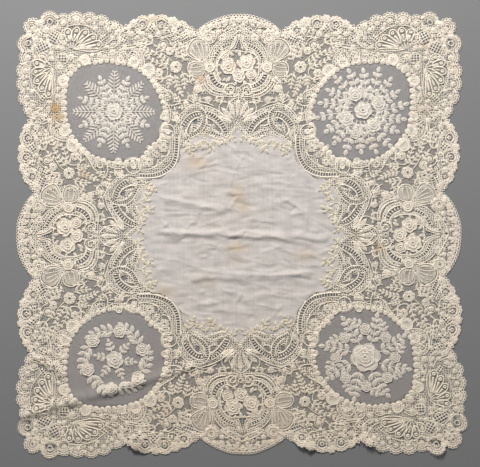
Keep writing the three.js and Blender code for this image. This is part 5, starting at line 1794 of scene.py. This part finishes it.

# ---- Floor, light and camera --------------------------------------------------------------------
# A matt floor whose grey is painted paler towards the top as painted light, a large soft lamp above
# the upper left, faint light from all round, and a camera straight above the cloth.
FLOOR_SIZE, FLOOR_LEVEL = 6.0, -0.0002
# Painted light: the floor's grey is painted paler towards the top of the picture, as if lit more
# strongly there.
FLOOR_GREY_PAINTED_DIM, FLOOR_GREY_PAINTED_BRIGHT = (0.200, 0.200, 0.203, 1), (0.240, 0.240, 0.243, 1)
FLOOR_PAINTED_FALLOFF, FLOOR_GRAIN = 2.1, 0.06  # painted light: the floor is painted paler by this share per metre up the floor, and is mottled
bpy.ops.object.select_all(action="DESELECT")
bpy.ops.mesh.primitive_plane_add(size=FLOOR_SIZE, location=(0, 0, FLOOR_LEVEL))
floor = bpy.context.object
floor.name = "floor"
paper = bpy.data.materials.new("matt floor")
paper.use_nodes = True
tree = paper.node_tree
paper_shader = tree.nodes["Principled BSDF"]
paper_shader.inputs["Roughness"].default_value = 0.9
paper_shader.inputs["Specular IOR Level"].default_value = 0.1
place = node(tree, "ShaderNodeTexCoord").outputs["Object"]
grain = node(tree, "ShaderNodeTexNoise", {"Vector": place}, Scale=400.0)
up_the_floor = node(tree, "ShaderNodeSeparateXYZ", {"Vector": place}).outputs["Y"]
share = math_node(tree, "MULTIPLY", up_the_floor, FLOOR_PAINTED_FALLOFF)
share = math_node(tree, "ADD", share, 0.5, clamp=True)
mottled = math_node(tree, "MULTIPLY", grain.outputs["Fac"], FLOOR_GRAIN)
mottled = math_node(tree, "ADD", share, mottled)
# Painted light: this ramp paints the grey paler up the floor.
ramp = node(tree, "ShaderNodeValToRGB", {"Fac": mottled})
ramp.color_ramp.elements[0].color = FLOOR_GREY_PAINTED_DIM
ramp.color_ramp.elements[1].color = FLOOR_GREY_PAINTED_BRIGHT
tree.links.new(ramp.outputs["Color"], paper_shader.inputs["Base Color"])
floor.data.materials.append(paper)

LAMP_X, LAMP_Y, LAMP_Z = -0.24, 1.05, 1.00
LAMP_SIZE, LAMP_ENERGY, LAMP_COLOUR = 0.34, 24.2, (1.0, 0.985, 0.96)
bpy.ops.object.light_add(type="AREA", location=(LAMP_X, LAMP_Y, LAMP_Z))
lamp = bpy.context.object
lamp.data.size = LAMP_SIZE
lamp.data.energy = LAMP_ENERGY
lamp.data.color = LAMP_COLOUR
lean = math.atan2(math.hypot(LAMP_X, LAMP_Y), LAMP_Z)
lamp.rotation_euler = (lean, 0, math.atan2(-LAMP_X, LAMP_Y) + math.pi)

SKY_COLOUR, SKY_STRENGTH = (0.94, 0.97, 1.0, 1), 0.24
world = bpy.data.worlds.new("soft light")
world.use_nodes = True
sky = world.node_tree.nodes["Background"]
sky.inputs["Color"].default_value = SKY_COLOUR
sky.inputs["Strength"].default_value = SKY_STRENGTH
bpy.context.scene.world = world
bpy.context.scene.view_settings.view_transform = "Standard"

CAMERA_X, CAMERA_Y, CAMERA_Z = -1.01, 1.37, 1333.3
bpy.ops.object.camera_add(location=(CAMERA_X * MM, CAMERA_Y * MM, CAMERA_Z * MM), rotation=(0, 0, 0))
camera = bpy.context.object
camera.data.lens = 100
camera.data.sensor_width = 36
bpy.context.scene.camera = camera
